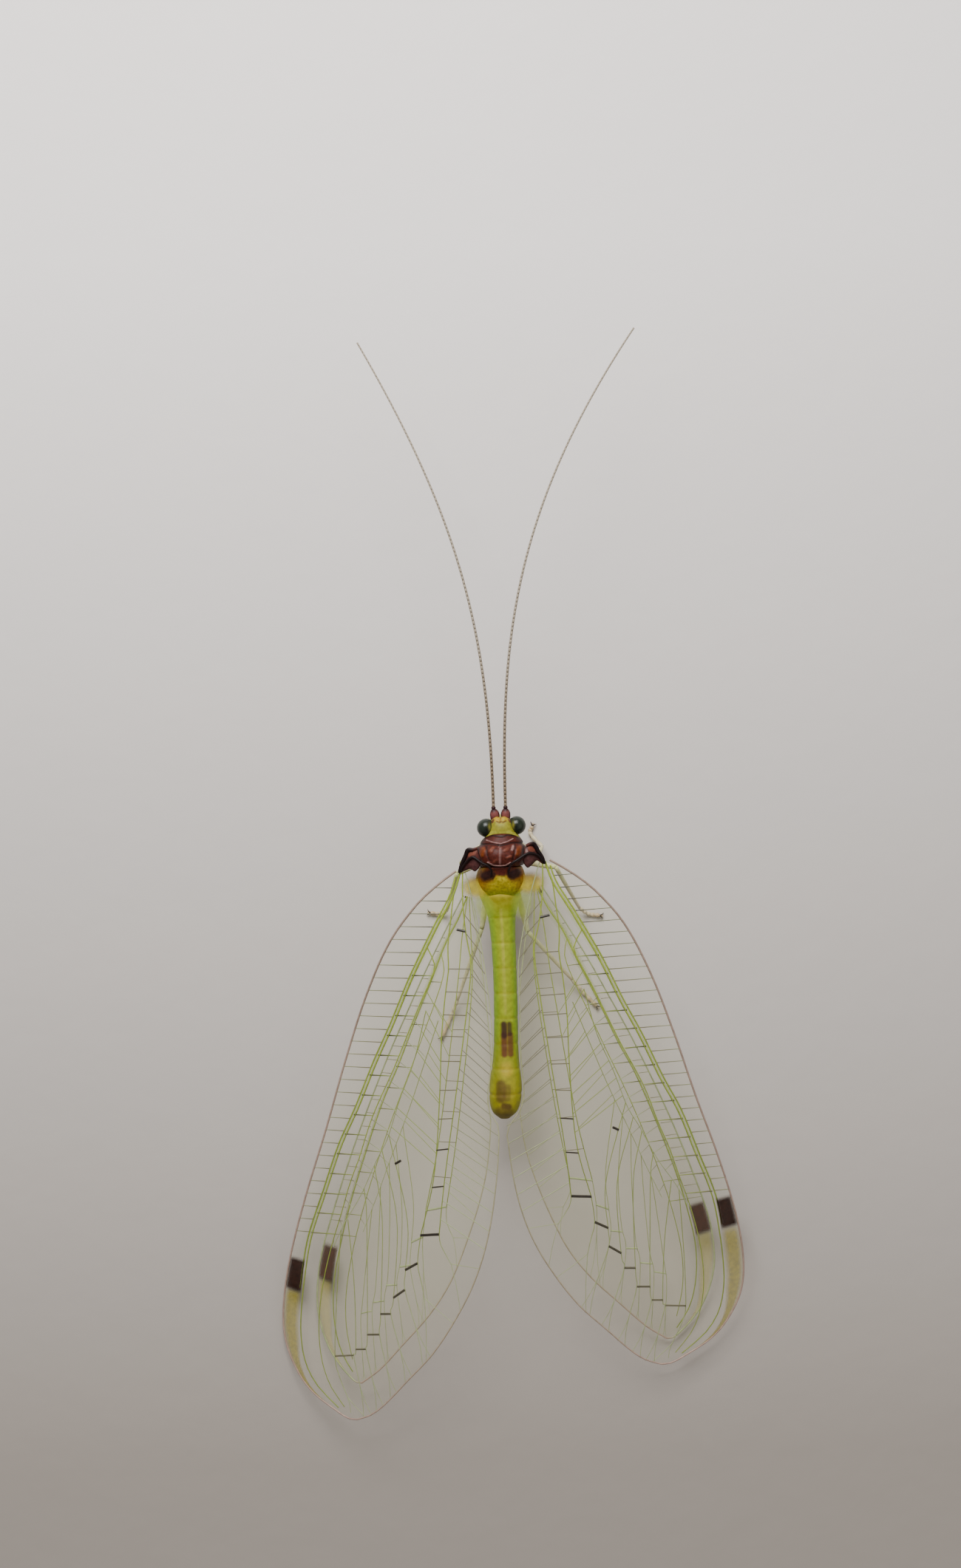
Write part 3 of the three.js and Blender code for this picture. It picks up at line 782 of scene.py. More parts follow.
# %% Jaws and palps
JAW_STEPS = 10
PALP_STEPS = 24
PALP_JOINTS = 4
for side, sign in (("left", -1), ("right", 1)):
    jaw_path = thread([(sign * 0.24, 1.1, 2.36), (sign * 0.22, 1.16, 2.2), (sign * 0.12, 1.15, 2.04)],
                      JAW_STEPS)
    jaw_shares = [i / JAW_STEPS for i in range(JAW_STEPS + 1)]
    jaw_radii = [0.11 * (1 - 0.8 * share ** 2) for share in jaw_shares]
    jaw_colours = [blend(C["amber"], C["claw"], share) for share in jaw_shares]
    jaw = tube_piece(f"jaw_{side}", jaw_path, jaw_radii, HEAD, jaw_colours)
    dress(jaw, "mouthparts", f"mandible_{side}")
    palp_path = thread([(sign * 0.42, 0.93, 2.4), (sign * 0.45, 1.05, 2.25), (sign * 0.42, 1.12, 1.97)],
                       PALP_STEPS)
    palp_radii = []
    for i in range(PALP_STEPS + 1):
        share = i / PALP_STEPS
        joint = 1 - 0.25 * math.cos(2 * math.pi * PALP_JOINTS * share)
        palp_radii.append(0.055 * joint * (1 - 0.4 * share))
    palp = tube_piece(f"palp_{side}", palp_path, palp_radii, HEAD, [C["face"]] * len(palp_radii))
    dress(palp, "mouthparts", f"palps_{side}")
print("mouthparts done")

# %% [markdown]
# ## Geometry Nodes helpers
# Veins and the beads of the feelers repeat hundreds of times along a path. Loops could make them
# too, but a tree needs no list of corners and can be tuned by its inputs. It is built once, with
# named inputs, and applied to a mesh of plain edges. The result is turned into an ordinary mesh at
# once, so nothing live is left in the file.


# %% Tree helpers
def new_tree(name, sockets):
    """An empty tree with a geometry input and output and the named inputs."""
    tree = bpy.data.node_groups.new(name, "GeometryNodeTree")
    tree.interface.new_socket("Geometry", in_out="INPUT", socket_type="NodeSocketGeometry")
    for label, kind in sockets:
        tree.interface.new_socket(label, in_out="INPUT", socket_type=kind)
    tree.interface.new_socket("Geometry", in_out="OUTPUT", socket_type="NodeSocketGeometry")
    return tree, tree.nodes.new("NodeGroupInput"), tree.nodes.new("NodeGroupOutput")


def apply_tree(piece, tree, **values):
    """Runs the tree on the piece, keeps its result as the piece's mesh and removes the modifier."""
    modifier = piece.modifiers.new("grow", "NODES")
    modifier.node_group = tree
    for item in tree.interface.items_tree:
        if item.in_out == "INPUT" and item.name in values:
            modifier[item.identifier] = values[item.name]
    piece.update_tag()
    graph = bpy.context.evaluated_depsgraph_get()
    grown = bpy.data.meshes.new_from_object(piece.evaluated_get(graph), depsgraph=graph)
    piece.modifiers.remove(modifier)
    old = piece.data
    piece.data = grown
    bpy.data.meshes.remove(old)
    grown.name = piece.name
    grown.polygons.foreach_set("use_smooth", [True] * len(grown.polygons))
    return piece


def strand_object(name, strands):
    """Lines of points as a mesh of edges; each strand is (points, thicknesses, colours)."""
    points, edges, thickness, paint = [], [], [], []
    for line, widths, colours in strands:
        start = len(points)
        points += [here(*p) for p in line]
        edges += [(start + i, start + i + 1) for i in range(len(line) - 1)]
        thickness += [w * MM for w in widths]
        paint += [c for colour in colours for c in (*colour, 1.0)]
    mesh = bpy.data.meshes.new(name)
    mesh.from_pydata(points, edges, [])
    mesh.attributes.new("thickness", "FLOAT", "POINT").data.foreach_set("value", thickness)
    mesh.attributes.new("paint", "FLOAT_COLOR", "POINT").data.foreach_set("color", paint)
    piece = bpy.data.objects.new(name, mesh)
    bpy.context.collection.objects.link(piece)
    return piece


def named_value(tree, name):
    """A number stored on the points under this name."""
    node = add_node(tree, "GeometryNodeInputNamedAttribute", {"Name": name}, data_type="FLOAT")
    return node.outputs["Attribute"]


def finish_tree(tree, made, tree_in, tree_out):
    """The last steps of a tree: copies made real, and the material."""
    realize = add_node(tree, "GeometryNodeRealizeInstances")
    coat = add_node(tree, "GeometryNodeSetMaterial")
    tree.links.new(made, realize.inputs["Geometry"])
    tree.links.new(realize.outputs["Geometry"], coat.inputs["Geometry"])
    tree.links.new(tree_in.outputs["Material"], coat.inputs["Material"])
    tree.links.new(coat.outputs["Geometry"], tree_out.inputs["Geometry"])


print("tree helpers ready")

# %% The tree that turns strands into round cords of their own thickness
cord_tree, cord_in, cord_out = new_tree(
    "Round cords", [("Sides", "NodeSocketInt"), ("Material", "NodeSocketMaterial")])
to_curve = add_node(cord_tree, "GeometryNodeMeshToCurve")
profile = add_node(cord_tree, "GeometryNodeCurvePrimitiveCircle", {"Radius": 1.0})
sweep = add_node(cord_tree, "GeometryNodeCurveToMesh", {"Fill Caps": True})
link = cord_tree.links.new
link(cord_in.outputs["Geometry"], to_curve.inputs["Mesh"])
link(to_curve.outputs["Curve"], sweep.inputs["Curve"])
link(named_value(cord_tree, "thickness"), sweep.inputs["Scale"])
link(cord_in.outputs["Sides"], profile.inputs["Resolution"])
link(profile.outputs["Curve"], sweep.inputs["Profile Curve"])
finish_tree(cord_tree, sweep.outputs["Mesh"], cord_in, cord_out)
print("tree inputs:", [i.name for i in cord_tree.interface.items_tree])

# %% [markdown]
# ## The wings' surfaces
# Each wing is a sheet draped over a height that falls towards the tip and leans to the front
# edge, the same as its solid. A place on it is named by two shares: how far out along the wing,
# and how far forward of its middle line. Everything on a wing is drawn with those two numbers.

# %% Wing sizes
# Headings and rolls are in degrees; droop is the power by which a wing's height falls to its tip.
FOREWING_CHORD = 19.5
HINDWING_CHORD = 17.9
ROOT_HEIGHT = 3.45
LAYER = 0.6
ROLL_FADE_IN = 0.35
THORAX_HALF = 0.97
BODY_GAP = 0.05
TRIM_STEP = 0.002
POSES = {
    "right": dict(sign=1, length=19.53, heading=12.1, roll=8, base=(1.6, -0.44), tip=0.68, droop=2),
    "left": dict(sign=-1, length=20.89, heading=12.85, roll=26, base=(-1.54, -0.75), tip=1.26, droop=2.2),
}
HIND_PLANS = {
    "right": dict(length=17.92, heading=14.8, base=(1.32, -1.35)),
    "left": dict(length=18.76, heading=14.15, base=(-1.35, -1.67)),
}
FOREWING_FRONT = [(0, 0.008), (0.03, 0.04), (0.07, 0.074), (0.145, 0.115), (0.25, 0.143), (0.37, 0.16),
                  (0.5, 0.173), (0.63, 0.189), (0.75, 0.197), (0.84, 0.191), (0.9, 0.172), (0.95, 0.132),
                  (0.98, 0.087), (1, 0.024)]
FOREWING_BACK = [(0, 0.012), (0.06, 0.046), (0.15, 0.087), (0.25, 0.127), (0.35, 0.162), (0.45, 0.188),
                 (0.55, 0.201), (0.63, 0.202), (0.7, 0.192), (0.77, 0.17), (0.84, 0.139), (0.9, 0.1),
                 (0.96, 0.06), (0.985, 0.036), (1, 0.012)]
HINDWING_FRONT = [(0, 0.006), (0.08, 0.03), (0.17, 0.055), (0.26, 0.076), (0.34, 0.094), (0.45, 0.114),
                  (0.55, 0.129), (0.65, 0.14), (0.77, 0.148), (0.85, 0.139), (0.9, 0.121), (0.95, 0.086),
                  (0.98, 0.05), (1, 0.014)]
HINDWING_BACK = [(0, 0.012), (0.1, 0.058), (0.2, 0.1), (0.3, 0.136), (0.4, 0.162), (0.5, 0.179),
                 (0.58, 0.179), (0.68, 0.168), (0.75, 0.154), (0.82, 0.126), (0.9, 0.08), (0.96, 0.044),
                 (1, 0.01)]


def compass(sign, heading):
    """Directions out along a wing and forward across it, in plan."""
    turn = math.radians(heading)
    return (sign * math.sin(turn), -math.cos(turn)), (sign * math.cos(turn), math.sin(turn))


def sheet_height(pose, x, y):
    out, forward = compass(pose["sign"], pose["heading"])
    dx, dy = x - pose["base"][0], y - pose["base"][1]
    t = (dx * out[0] + dy * out[1]) / pose["length"]
    v = dx * forward[0] + dy * forward[1]
    lean = math.tan(math.radians(pose["roll"])) * smooth_step(0, ROLL_FADE_IN, t)
    return ROOT_HEIGHT - (ROOT_HEIGHT - pose["tip"]) * max(t, 0) ** pose["droop"] - v * lean


class Wing:
    """One wing: its outline, its place and the height of its sheet."""

    def __init__(self, kind, side):
        self.kind, self.side = kind, side
        self.pose = POSES[side]
        fore = kind == "forewing"
        self.plan = self.pose if fore else {**HIND_PLANS[side], "sign": self.pose["sign"]}
        self.front = FOREWING_FRONT if fore else HINDWING_FRONT
        self.back = FOREWING_BACK if fore else HINDWING_BACK
        self.flatten = math.cos(math.radians(self.pose["roll"]))
        self.chord = (FOREWING_CHORD if fore else HINDWING_CHORD) * self.flatten
        self.lowered = 0 if fore else LAYER / self.flatten
        self.out, self.forward = compass(self.plan["sign"], self.plan["heading"])

    def plan_point(self, t, v):
        u, w = t * self.plan["length"], v * self.chord
        return (self.plan["base"][0] + u * self.out[0] + w * self.forward[0],
                self.plan["base"][1] + u * self.out[1] + w * self.forward[1])

    def spot(self, t, v, lift=0.0):
        x, y = self.plan_point(t, v)
        return x, y, sheet_height(self.pose, x, y) - self.lowered + lift

    def front_edge(self, t):
        return along(self.front, t)

    def back_edge(self, t):
        """The hind margin, held beside the trunk and abdomen where they are in its way."""
        v = -along(self.back, t)
        for _ in range(200):
            x, y = self.plan_point(t, v)
            half = body_half(y)
            if half is None or (x - body_middle(y)) * self.plan["sign"] > half:
                break
            v += TRIM_STEP
        return v


def body_half(y):
    """Half the width of the trunk or abdomen that a wing keeps clear of; None behind them."""
    if y > ABDOMEN_FRONT:
        return THORAX_HALF
    if y < ABDOMEN_END:
        return None
    return along(ABDOMEN_HALF, ABDOMEN_FRONT - y) + BODY_GAP


def body_middle(y):
    return along(ABDOMEN_BEND, ABDOMEN_FRONT - y) if y <= ABDOMEN_FRONT else 0.0


wings = [Wing(kind, side) for side in ("left", "right") for kind in ("forewing", "hindwing")]
print("wings:", [(w.kind, w.side) for w in wings])


# %% Membrane material
def membrane_material():
    """Clear film, seen by its thin reflections and more where it turns edge on."""
    material, tree, shader = new_material("wing membrane")
    fill(shader, {"Base Color": (*srgb(0xE6E8C8), 1), "Roughness": 0.25, "Thin Film IOR": 1.5})
    ripple = noise(tree, add_node(tree, "ShaderNodeTexCoord"), 1.1, 3.0)
    tree.links.new(ranged(tree, ripple, 300.0, 560.0), shader.inputs["Thin Film Thickness"])
    bumps(tree, ripple, 0.35, 0.05)
    clear = add_node(tree, "ShaderNodeBsdfTransparent", {"Color": (1.0, 0.998, 0.975, 1)})
    turned = add_node(tree, "ShaderNodeLayerWeight", {"Blend": 0.2})
    see_through(tree, ranged(tree, turned.outputs["Facing"], 0.018, 0.1), clear)
    return material


MEMBRANE = membrane_material()
MEMBRANE_HALF = 0.008


def membrane(wing, length_steps=140, chord_steps=30):
    """A thin closed sheet between the two margins."""
    loops = []
    for i in range(length_steps + 1):
        t = 1 - (1 - i / length_steps) ** 1.5
        back, front = wing.back_edge(t), wing.front_edge(t)
        row = [wing.spot(t, back + (front - back) * j / chord_steps) for j in range(chord_steps + 1)]
        upper = [(x, y, z + MEMBRANE_HALF) for x, y, z in row]
        lower = [(x, y, z - MEMBRANE_HALF) for x, y, z in row]
        loops.append(upper + lower[::-1])
    points, faces = stitch(loops)
    return make_piece(f"membrane_{wing.kind}_{wing.side}", points, faces, MEMBRANE)


for wing in wings:
    dress(let_light_through(membrane(wing)), "wing", f"{wing.kind}_{wing.side}")

# %% [markdown]
# ## The net of veins
# A lacewing's veins follow a plan. A few rails run the length of the wing; rungs cross between
# neighbouring rails at even steps; beyond the last rung the branches fan out to the margin, and a
# row of dark rungs, the gradates, crosses the fan. So a wing needs only its rails and a few
# counts, and loops draw the rest. Drawing each of a forewing's 130 veins by hand would give the
# same picture and a file nobody could read.

# %% Rails
FORE_NET = dict(
    radius=[(0, 0.002), (0.04, 0.006), (0.09, 0.023), (0.13, 0.036), (0.2, 0.057), (0.29, 0.078),
            (0.36, 0.097), (0.45, 0.117), (0.52, 0.136), (0.61, 0.15), (0.7, 0.163), (0.77, 0.161),
            (0.83, 0.155), (0.88, 0.145), (0.93, 0.122), (0.965, 0.085), (0.99, 0.035)],
    sector=[(0.141, 0.036), (0.155, 0.019), (0.178, 0.012), (0.2, 0.017), (0.245, 0.029), (0.285, 0.038),
            (0.33, 0.048), (0.365, 0.056), (0.43, 0.074), (0.47, 0.083), (0.54, 0.092), (0.58, 0.1),
            (0.64, 0.106), (0.7, 0.113), (0.77, 0.116), (0.84, 0.11), (0.9, 0.093), (0.95, 0.063),
            (0.985, 0.02)],
    inner=[(0.25, 0.013), (0.34, 0.017), (0.415, 0.031), (0.49, 0.041), (0.53, 0.054), (0.6, 0.073),
           (0.66, 0.097), (0.704, 0.109)],
    middle=[(0.0, -0.001), (0.04, 0.003), (0.085, -0.001), (0.133, -0.006), (0.173, -0.017),
            (0.204, -0.019), (0.285, -0.029), (0.377, -0.047), (0.484, -0.065), (0.55, -0.071),
            (0.638, -0.067)],
    cubitus=[(0.0, -0.006), (0.05, -0.018), (0.11, -0.04), (0.153, -0.06), (0.245, -0.071), (0.37, -0.081),
             (0.48, -0.089), (0.55, -0.095), (0.627, -0.104)],
    front_rungs=(0.03, 0.69, 28),
    radial_rungs=(0.195, 0.69, 14),
    oblique_rungs=(0.215, 0.465, 8),
    middle_rungs=[0.17, 0.21, 0.25, 0.287, 0.33, 0.38, 0.43],
    dark_rungs=[0.484, 0.55],
    margin_rungs=(0.07, 0.6, 17),
    fan=[
        [(0.48, 0.039), (0.617, -0.033), (0.706, -0.05), (0.741, -0.057), (0.8, -0.094)],
        [(0.51, 0.047), (0.623, -0.012), (0.761, -0.037), (0.791, -0.038), (0.85, -0.072)],
        [(0.54, 0.057), (0.631, 0.018), (0.797, -0.017), (0.834, -0.023), (0.89, -0.052)],
        [(0.585, 0.069), (0.64, 0.05), (0.841, 0.002), (0.868, -0.001), (0.92, -0.028)],
        [(0.648, 0.09), (0.76, 0.05), (0.874, 0.02), (0.886, 0.022), (0.94, -0.005)],
        [(0.67, 0.1), (0.8, 0.08), (0.898, 0.061), (0.93, 0.045), (0.965, 0.018)],
    ],
    first_branch=[(0.638, -0.067), (0.688, -0.072), (0.72, -0.088), (0.745, -0.1)],
    last_branch=[(0.627, -0.104), (0.645, -0.112), (0.672, -0.14)],
    gradates=[((0.627, -0.104), (0.638, -0.067)), ((0.688, -0.072), (0.706, -0.05)),
              ((0.741, -0.057), (0.761, -0.037)), ((0.791, -0.038), (0.797, -0.017)),
              ((0.834, -0.023), (0.841, 0.002)), ((0.868, -0.001), (0.874, 0.02)),
              ((0.886, 0.022), (0.898, 0.061))],
    spots=[((0.1, -0.017), (0.1, -0.036)), ((0.519, 0.004), (0.527, 0.014))],
    stigma={"right": (0.709, 0.766), "left": (0.745, 0.801)},
)
HIND_NET = dict(
    radius=[(0, 0.0), (0.045, 0.008), (0.1, 0.025), (0.17, 0.037), (0.227, 0.048), (0.27, 0.056),
            (0.36, 0.071), (0.433, 0.087), (0.555, 0.102), (0.665, 0.111), (0.75, 0.112),
            (0.82, 0.108), (0.89, 0.09), (0.95, 0.058), (0.985, 0.02)],
    sector=[(0.12, 0.027), (0.15, 0.012), (0.2, 0.014), (0.28, 0.026), (0.36, 0.038), (0.45, 0.053),
            (0.55, 0.066), (0.65, 0.075), (0.74, 0.078), (0.83, 0.072), (0.9, 0.054), (0.96, 0.024)],
    inner=[(0.25, 0.0), (0.34, 0.01), (0.44, 0.022), (0.54, 0.038), (0.62, 0.05), (0.7, 0.064)],
    middle=[(0.0, -0.004), (0.08, -0.012), (0.16, -0.024), (0.26, -0.036), (0.38, -0.05), (0.5, -0.062),
            (0.62, -0.066)],
    cubitus=[(0.0, -0.008), (0.07, -0.03), (0.14, -0.052), (0.24, -0.07), (0.36, -0.086), (0.48, -0.1),
             (0.6, -0.11)],
    front_rungs=(0.06, 0.72, 24),
    radial_rungs=(0.18, 0.72, 13),
    oblique_rungs=(0.22, 0.46, 6),
    middle_rungs=[0.16, 0.21, 0.26, 0.31, 0.36, 0.42],
    dark_rungs=[0.48, 0.55],
    margin_rungs=(0.1, 0.57, 14),
    fan=[
        [(0.47, 0.027), (0.61, -0.034), (0.69, -0.05), (0.74, -0.06), (0.8, -0.09)],
        [(0.51, 0.033), (0.63, -0.012), (0.73, -0.034), (0.78, -0.038), (0.85, -0.066)],
        [(0.55, 0.039), (0.65, 0.012), (0.77, -0.014), (0.82, -0.018), (0.9, -0.044)],
        [(0.6, 0.047), (0.68, 0.03), (0.8, 0.008), (0.85, 0.004), (0.93, -0.022)],
        [(0.65, 0.055), (0.73, 0.045), (0.84, 0.03), (0.88, 0.024), (0.955, 0.0)],
    ],
    first_branch=[(0.62, -0.066), (0.68, -0.074), (0.735, -0.09)],
    last_branch=[(0.6, -0.11), (0.63, -0.118), (0.655, -0.14)],
    gradates=[((0.6, -0.11), (0.62, -0.066)), ((0.672, -0.073), (0.69, -0.05)),
              ((0.735, -0.059), (0.745, -0.037)), ((0.782, -0.039), (0.79, -0.015)),
              ((0.822, -0.018), (0.832, 0.005)), ((0.85, 0.004), (0.862, 0.027))],
    spots=[],
    stigma={"right": (0.737, 0.8), "left": (0.748, 0.818)},
)
print("rails:", [k for k in FORE_NET if isinstance(FORE_NET[k], list)][:5])

# %% Net builder
SKEW = 0.18
VEIN_STEP = 0.3
FORK_STEP = 0.003
APEX_BULGE = 0.003
VEIN_HALF = {
    "forewing": dict(costa=0.04, strong=0.036, rung=0.019, fine=0.014),
    "hindwing": dict(costa=0.026, strong=0.028, rung=0.014, fine=0.012),
}


class Net:
    """Collects the veins of one wing as strands."""

    def __init__(self, wing, plan):
        self.wing, self.plan, self.strands = wing, plan, []

    def vein(self, way, width, colour, end_width=None, end_colour=None):
        """A vein through (t, v) places, thinning to its end."""
        rough = [Vector(self.wing.spot(t, v)) for t, v in way]
        length = sum((b - a).length for a, b in zip(rough, rough[1:]))
        steps = max(4, int(length / VEIN_STEP))
        shares = [i / steps for i in range(steps + 1)]
        places = thread(way, steps) if len(way) > 2 else [blend(*way, share) for share in shares]
        line = [self.wing.spot(t, v) for t, v in places]
        widths = [width + ((end_width or width) - width) * share for share in shares]
        colours = [blend(colour, end_colour or colour, share) for share in shares]
        self.strands.append((line, widths, colours))

    def rail(self, name, t):
        return along(self.plan[name], t)

    def follow(self, name, start, end, offset=0.0, count=30):
        """The places along a rail between two shares of the length."""
        shares = [start + (end - start) * i / count for i in range(count + 1)]
        return [(t, self.rail(name, t) + offset) for t in shares]

    def whole(self, name, width, colour, end_width, end_colour):
        rail = self.plan[name]
        self.vein(self.follow(name, rail[0][0], rail[-1][0]), width, colour, end_width, end_colour)


def even(start, end, count):
    return [start + (end - start) * i / (count - 1) for i in range(count)]


def weave_rails(net):
    """Margins and the long veins."""
    wing, plan, half = net.wing, net.plan, VEIN_HALF[net.wing.kind]
    fore = wing.kind == "forewing"
    green, yellow, pale = C["vein_green"], C["vein_yellow"], C["vein_pale"]
    edge = [1 - (1 - i / 60) ** 1.4 for i in range(61)]
    costa = C["costa"] if fore else pale
    start = blend(C["vein_grey"], costa, 0.6) if fore else pale
    net.vein([(t, wing.front_edge(t)) for t in edge], half["costa"], start, 0.034, costa)
    net.vein([(t, wing.back_edge(t)) for t in edge], 0.018, pale, 0.03, C["costa"])
    top, low = wing.front_edge(1), wing.back_edge(1)
    net.vein([(1, top), (1 + APEX_BULGE, (top + low) / 2), (1, low)], 0.03, costa, 0.03, C["costa"])
    strong = half["strong"]
    net.vein(net.follow("radius", 0, plan["radius"][-1][0], -0.003, 40), strong, yellow, 0.022, green)
    if fore:
        end = plan["stigma"][wing.side][0] + 0.05
        net.vein(net.follow("radius", 0.01, end, 0.004, 36), strong * 0.8, yellow, 0.03, green)
    net.whole("sector", strong * 0.65, yellow, 0.016, green)
    net.whole("inner", 0.017, green, 0.014, pale)
    net.whole("middle", strong * 0.7, yellow, 0.018, green)
    net.whole("cubitus", strong * 0.7, yellow, 0.018, green)


def weave_rungs(net):
    """The short veins between rails."""
    wing, plan = net.wing, net.plan
    rung, fine = VEIN_HALF[wing.kind]["rung"], VEIN_HALF[wing.kind]["fine"]
    green, pale, dark, grey = C["vein_green"], C["vein_pale"], C["vein_dark"], C["vein_grey"]
    for t in even(*plan["front_rungs"]):
        low = net.rail("radius", t) + 0.004
        tip = t + SKEW * (wing.front_edge(t) - low)
        shade = blend(dark, grey, smooth_step(0.03, 0.3, t))
        net.vein([(t, low), (tip, wing.front_edge(tip))], rung, shade, fine, blend(shade, pale, 0.5))
    for t in even(*plan["radial_rungs"]):
        low, high = net.rail("sector", t), net.rail("radius", t)
        shade = blend(dark, grey, smooth_step(0.3, 0.7, t))
        net.vein([(t, high), (t - SKEW * (high - low), low)], rung * 1.5, shade, fine, green)
        below = t + 0.012
        if plan["inner"][0][0] < below < plan["inner"][-1][0]:
            way = [(t, net.rail("sector", t)), (below, net.rail("inner", below))]
            net.vein(way, fine, grey, fine, pale)
    for t in even(*plan["oblique_rungs"]):
        end = t + 0.045
        start = net.rail("inner", t) if t > plan["inner"][0][0] else net.rail("sector", t)
        net.vein([(t, start), (end, net.rail("middle", end))], fine, green)
    for t in plan["middle_rungs"] + plan["dark_rungs"]:
        is_dark = t in plan["dark_rungs"] and wing.kind == "forewing"
        end = t - 0.008
        way = [(t, net.rail("middle", t)), (end, net.rail("cubitus", end))]
        net.vein(way, rung * (1.4 if is_dark else 1.0), dark if is_dark else grey)
    for t in even(*plan["margin_rungs"]):
        low, end = net.rail("cubitus", t), t + 0.03
        if low - wing.back_edge(end) > 0.012:
            shade = blend(grey, pale, smooth_step(0.3, 0.6, t))
            net.vein([(t, low), (end, wing.back_edge(end))], fine * 1.1, shade)
    for way in plan["spots"]:
        net.vein(way, rung * 2.5, dark)


def forked(net, way, width, spread):
    """A branch that reaches the hind margin and splits in two on the way."""
    (t0, v0), (t1, v1) = way[-2], way[-1]
    net.vein(way, width, C["vein_green"], width, C["vein_pale"])
    for turn in (-1, 1):
        t, v = t1, v1
        dt, dv = t1 - t0 + turn * spread, v1 - v0
        size = math.hypot(dt, dv)
        while t < 0.99 and v > net.wing.back_edge(t):
            t += dt / size * FORK_STEP
            v += dv / size * FORK_STEP
        middle = ((t1 + t) / 2, (v1 + v) / 2 - 0.002 * turn)
        net.vein([(t1, v1), middle, (t, v)], width * 0.9, C["vein_pale"], width * 0.7)


def weave_fan(net):
    """The outer branches and the dark rungs that cross them."""
    kind = net.wing.kind
    fine = VEIN_HALF[kind]["fine"]
    forked(net, net.plan["last_branch"], fine, 0.03)
    for way in [net.plan["first_branch"]] + net.plan["fan"]:
        forked(net, way, fine * 1.1, 0.02)
    for k, way in enumerate(net.plan["gradates"]):
        dark = blend(C["vein_dark"], C["vein_grey"], 0.14 * k)
        shade = dark if kind == "forewing" else C["vein_pale"]
        net.vein(way, VEIN_HALF[kind]["rung"] * (2.7 - 0.17 * k), shade)


print("veins are up to", max(half["costa"] for half in VEIN_HALF.values()) * 2, "mm thick")

# %% Veins
for wing in wings:
    net = Net(wing, FORE_NET if wing.kind == "forewing" else HIND_NET)
    weave_rails(net)
    weave_rungs(net)
    weave_fan(net)
    veins = strand_object(f"veins_{wing.kind}_{wing.side}", net.strands)
    apply_tree(veins, cord_tree, Sides=6, Material=VEIN)
    dress(veins, "wing")
    print(veins.name, len(net.strands), "veins,", len(veins.data.polygons), "faces")

# %% [markdown]
# ## Stigmas and tinted strips
# Near each wing's tip the space behind the front edge is thickened and dark, and beyond it stays
# a clear yellow; further in, the main vein runs in a green strip that is broadest at the root. A
# painted membrane could show them, but their rims would be as coarse as its mesh. So each is a
# thin pad laid between two lines along the wing, which ends exactly at the veins.

# %% Stigma pads
PAD_STEPS = 48
PAD_ACROSS = 10


def pad(wing, name, reach, low_at, high_at, half_thick, colour, material, soft_ends, soft_sides):
    """A thin closed pad between two lines along a wing, painted on its upper face only and fading
    towards its rim."""
    start, end = reach
    loops, paint = [], []
    for i in range(PAD_STEPS + 1):
        share = i / PAD_STEPS
        t = start + (end - start) * share
        low, high = low_at(t), high_at(t)
        row = [(t, low + (high - low) * j / PAD_ACROSS) for j in range(PAD_ACROSS + 1)]
        end_fade = smooth_step(0, soft_ends, min(share, 1 - share) + 0.005)
        fade = [end_fade * smooth_step(0, soft_sides, min(j, PAD_ACROSS - j) / PAD_ACROSS + 0.1)
                for j in range(PAD_ACROSS + 1)]
        upper = [wing.spot(*p, half_thick) for p in row]
        lower = [wing.spot(*p, -half_thick) for p in row[::-1]]
        loops.append(upper + lower)
        paint += [(*colour, f) for f in fade] + [(*colour, 0.0)] * len(fade)
    points, faces = stitch(loops)
    return make_piece(name, points, faces, material, paint + [(*colour, 0.0)] * 2)


def veil_material(name, amount, roughness=0.35, mottle=0.25, gloss=0.35):
    """A tint one can see through; the paint's strength thins it out."""
    material = cuticle(name, roughness=roughness, coat=0.02, mottle=mottle, gloss=gloss)
    tree = material.node_tree
    strength = add_node(tree, "ShaderNodeMath", operation="MULTIPLY")
    strength.inputs[1].default_value = amount
    tree.links.new(first_of(tree, "ShaderNodeAttribute").outputs["Alpha"], strength.inputs[0])
    see_through(tree, strength.outputs["Value"], add_node(tree, "ShaderNodeBsdfTransparent"))
    return material


STIGMA = veil_material("stigma", 0.97, 0.6, 0.4, 0.12)
BAND_VEILS = {
    "forewing": veil_material("yellow veil", 0.68),
    "hindwing": veil_material("pale yellow veil", 0.4),
}
GREEN_VEIL = veil_material("green veil", 0.38)
print("veils:", [m.name for m in bpy.data.materials if "veil" in m.name])

# %% Pads of each wing
STIGMA_OVERLAP = 0.006
ROOT_SHARE = 0.3


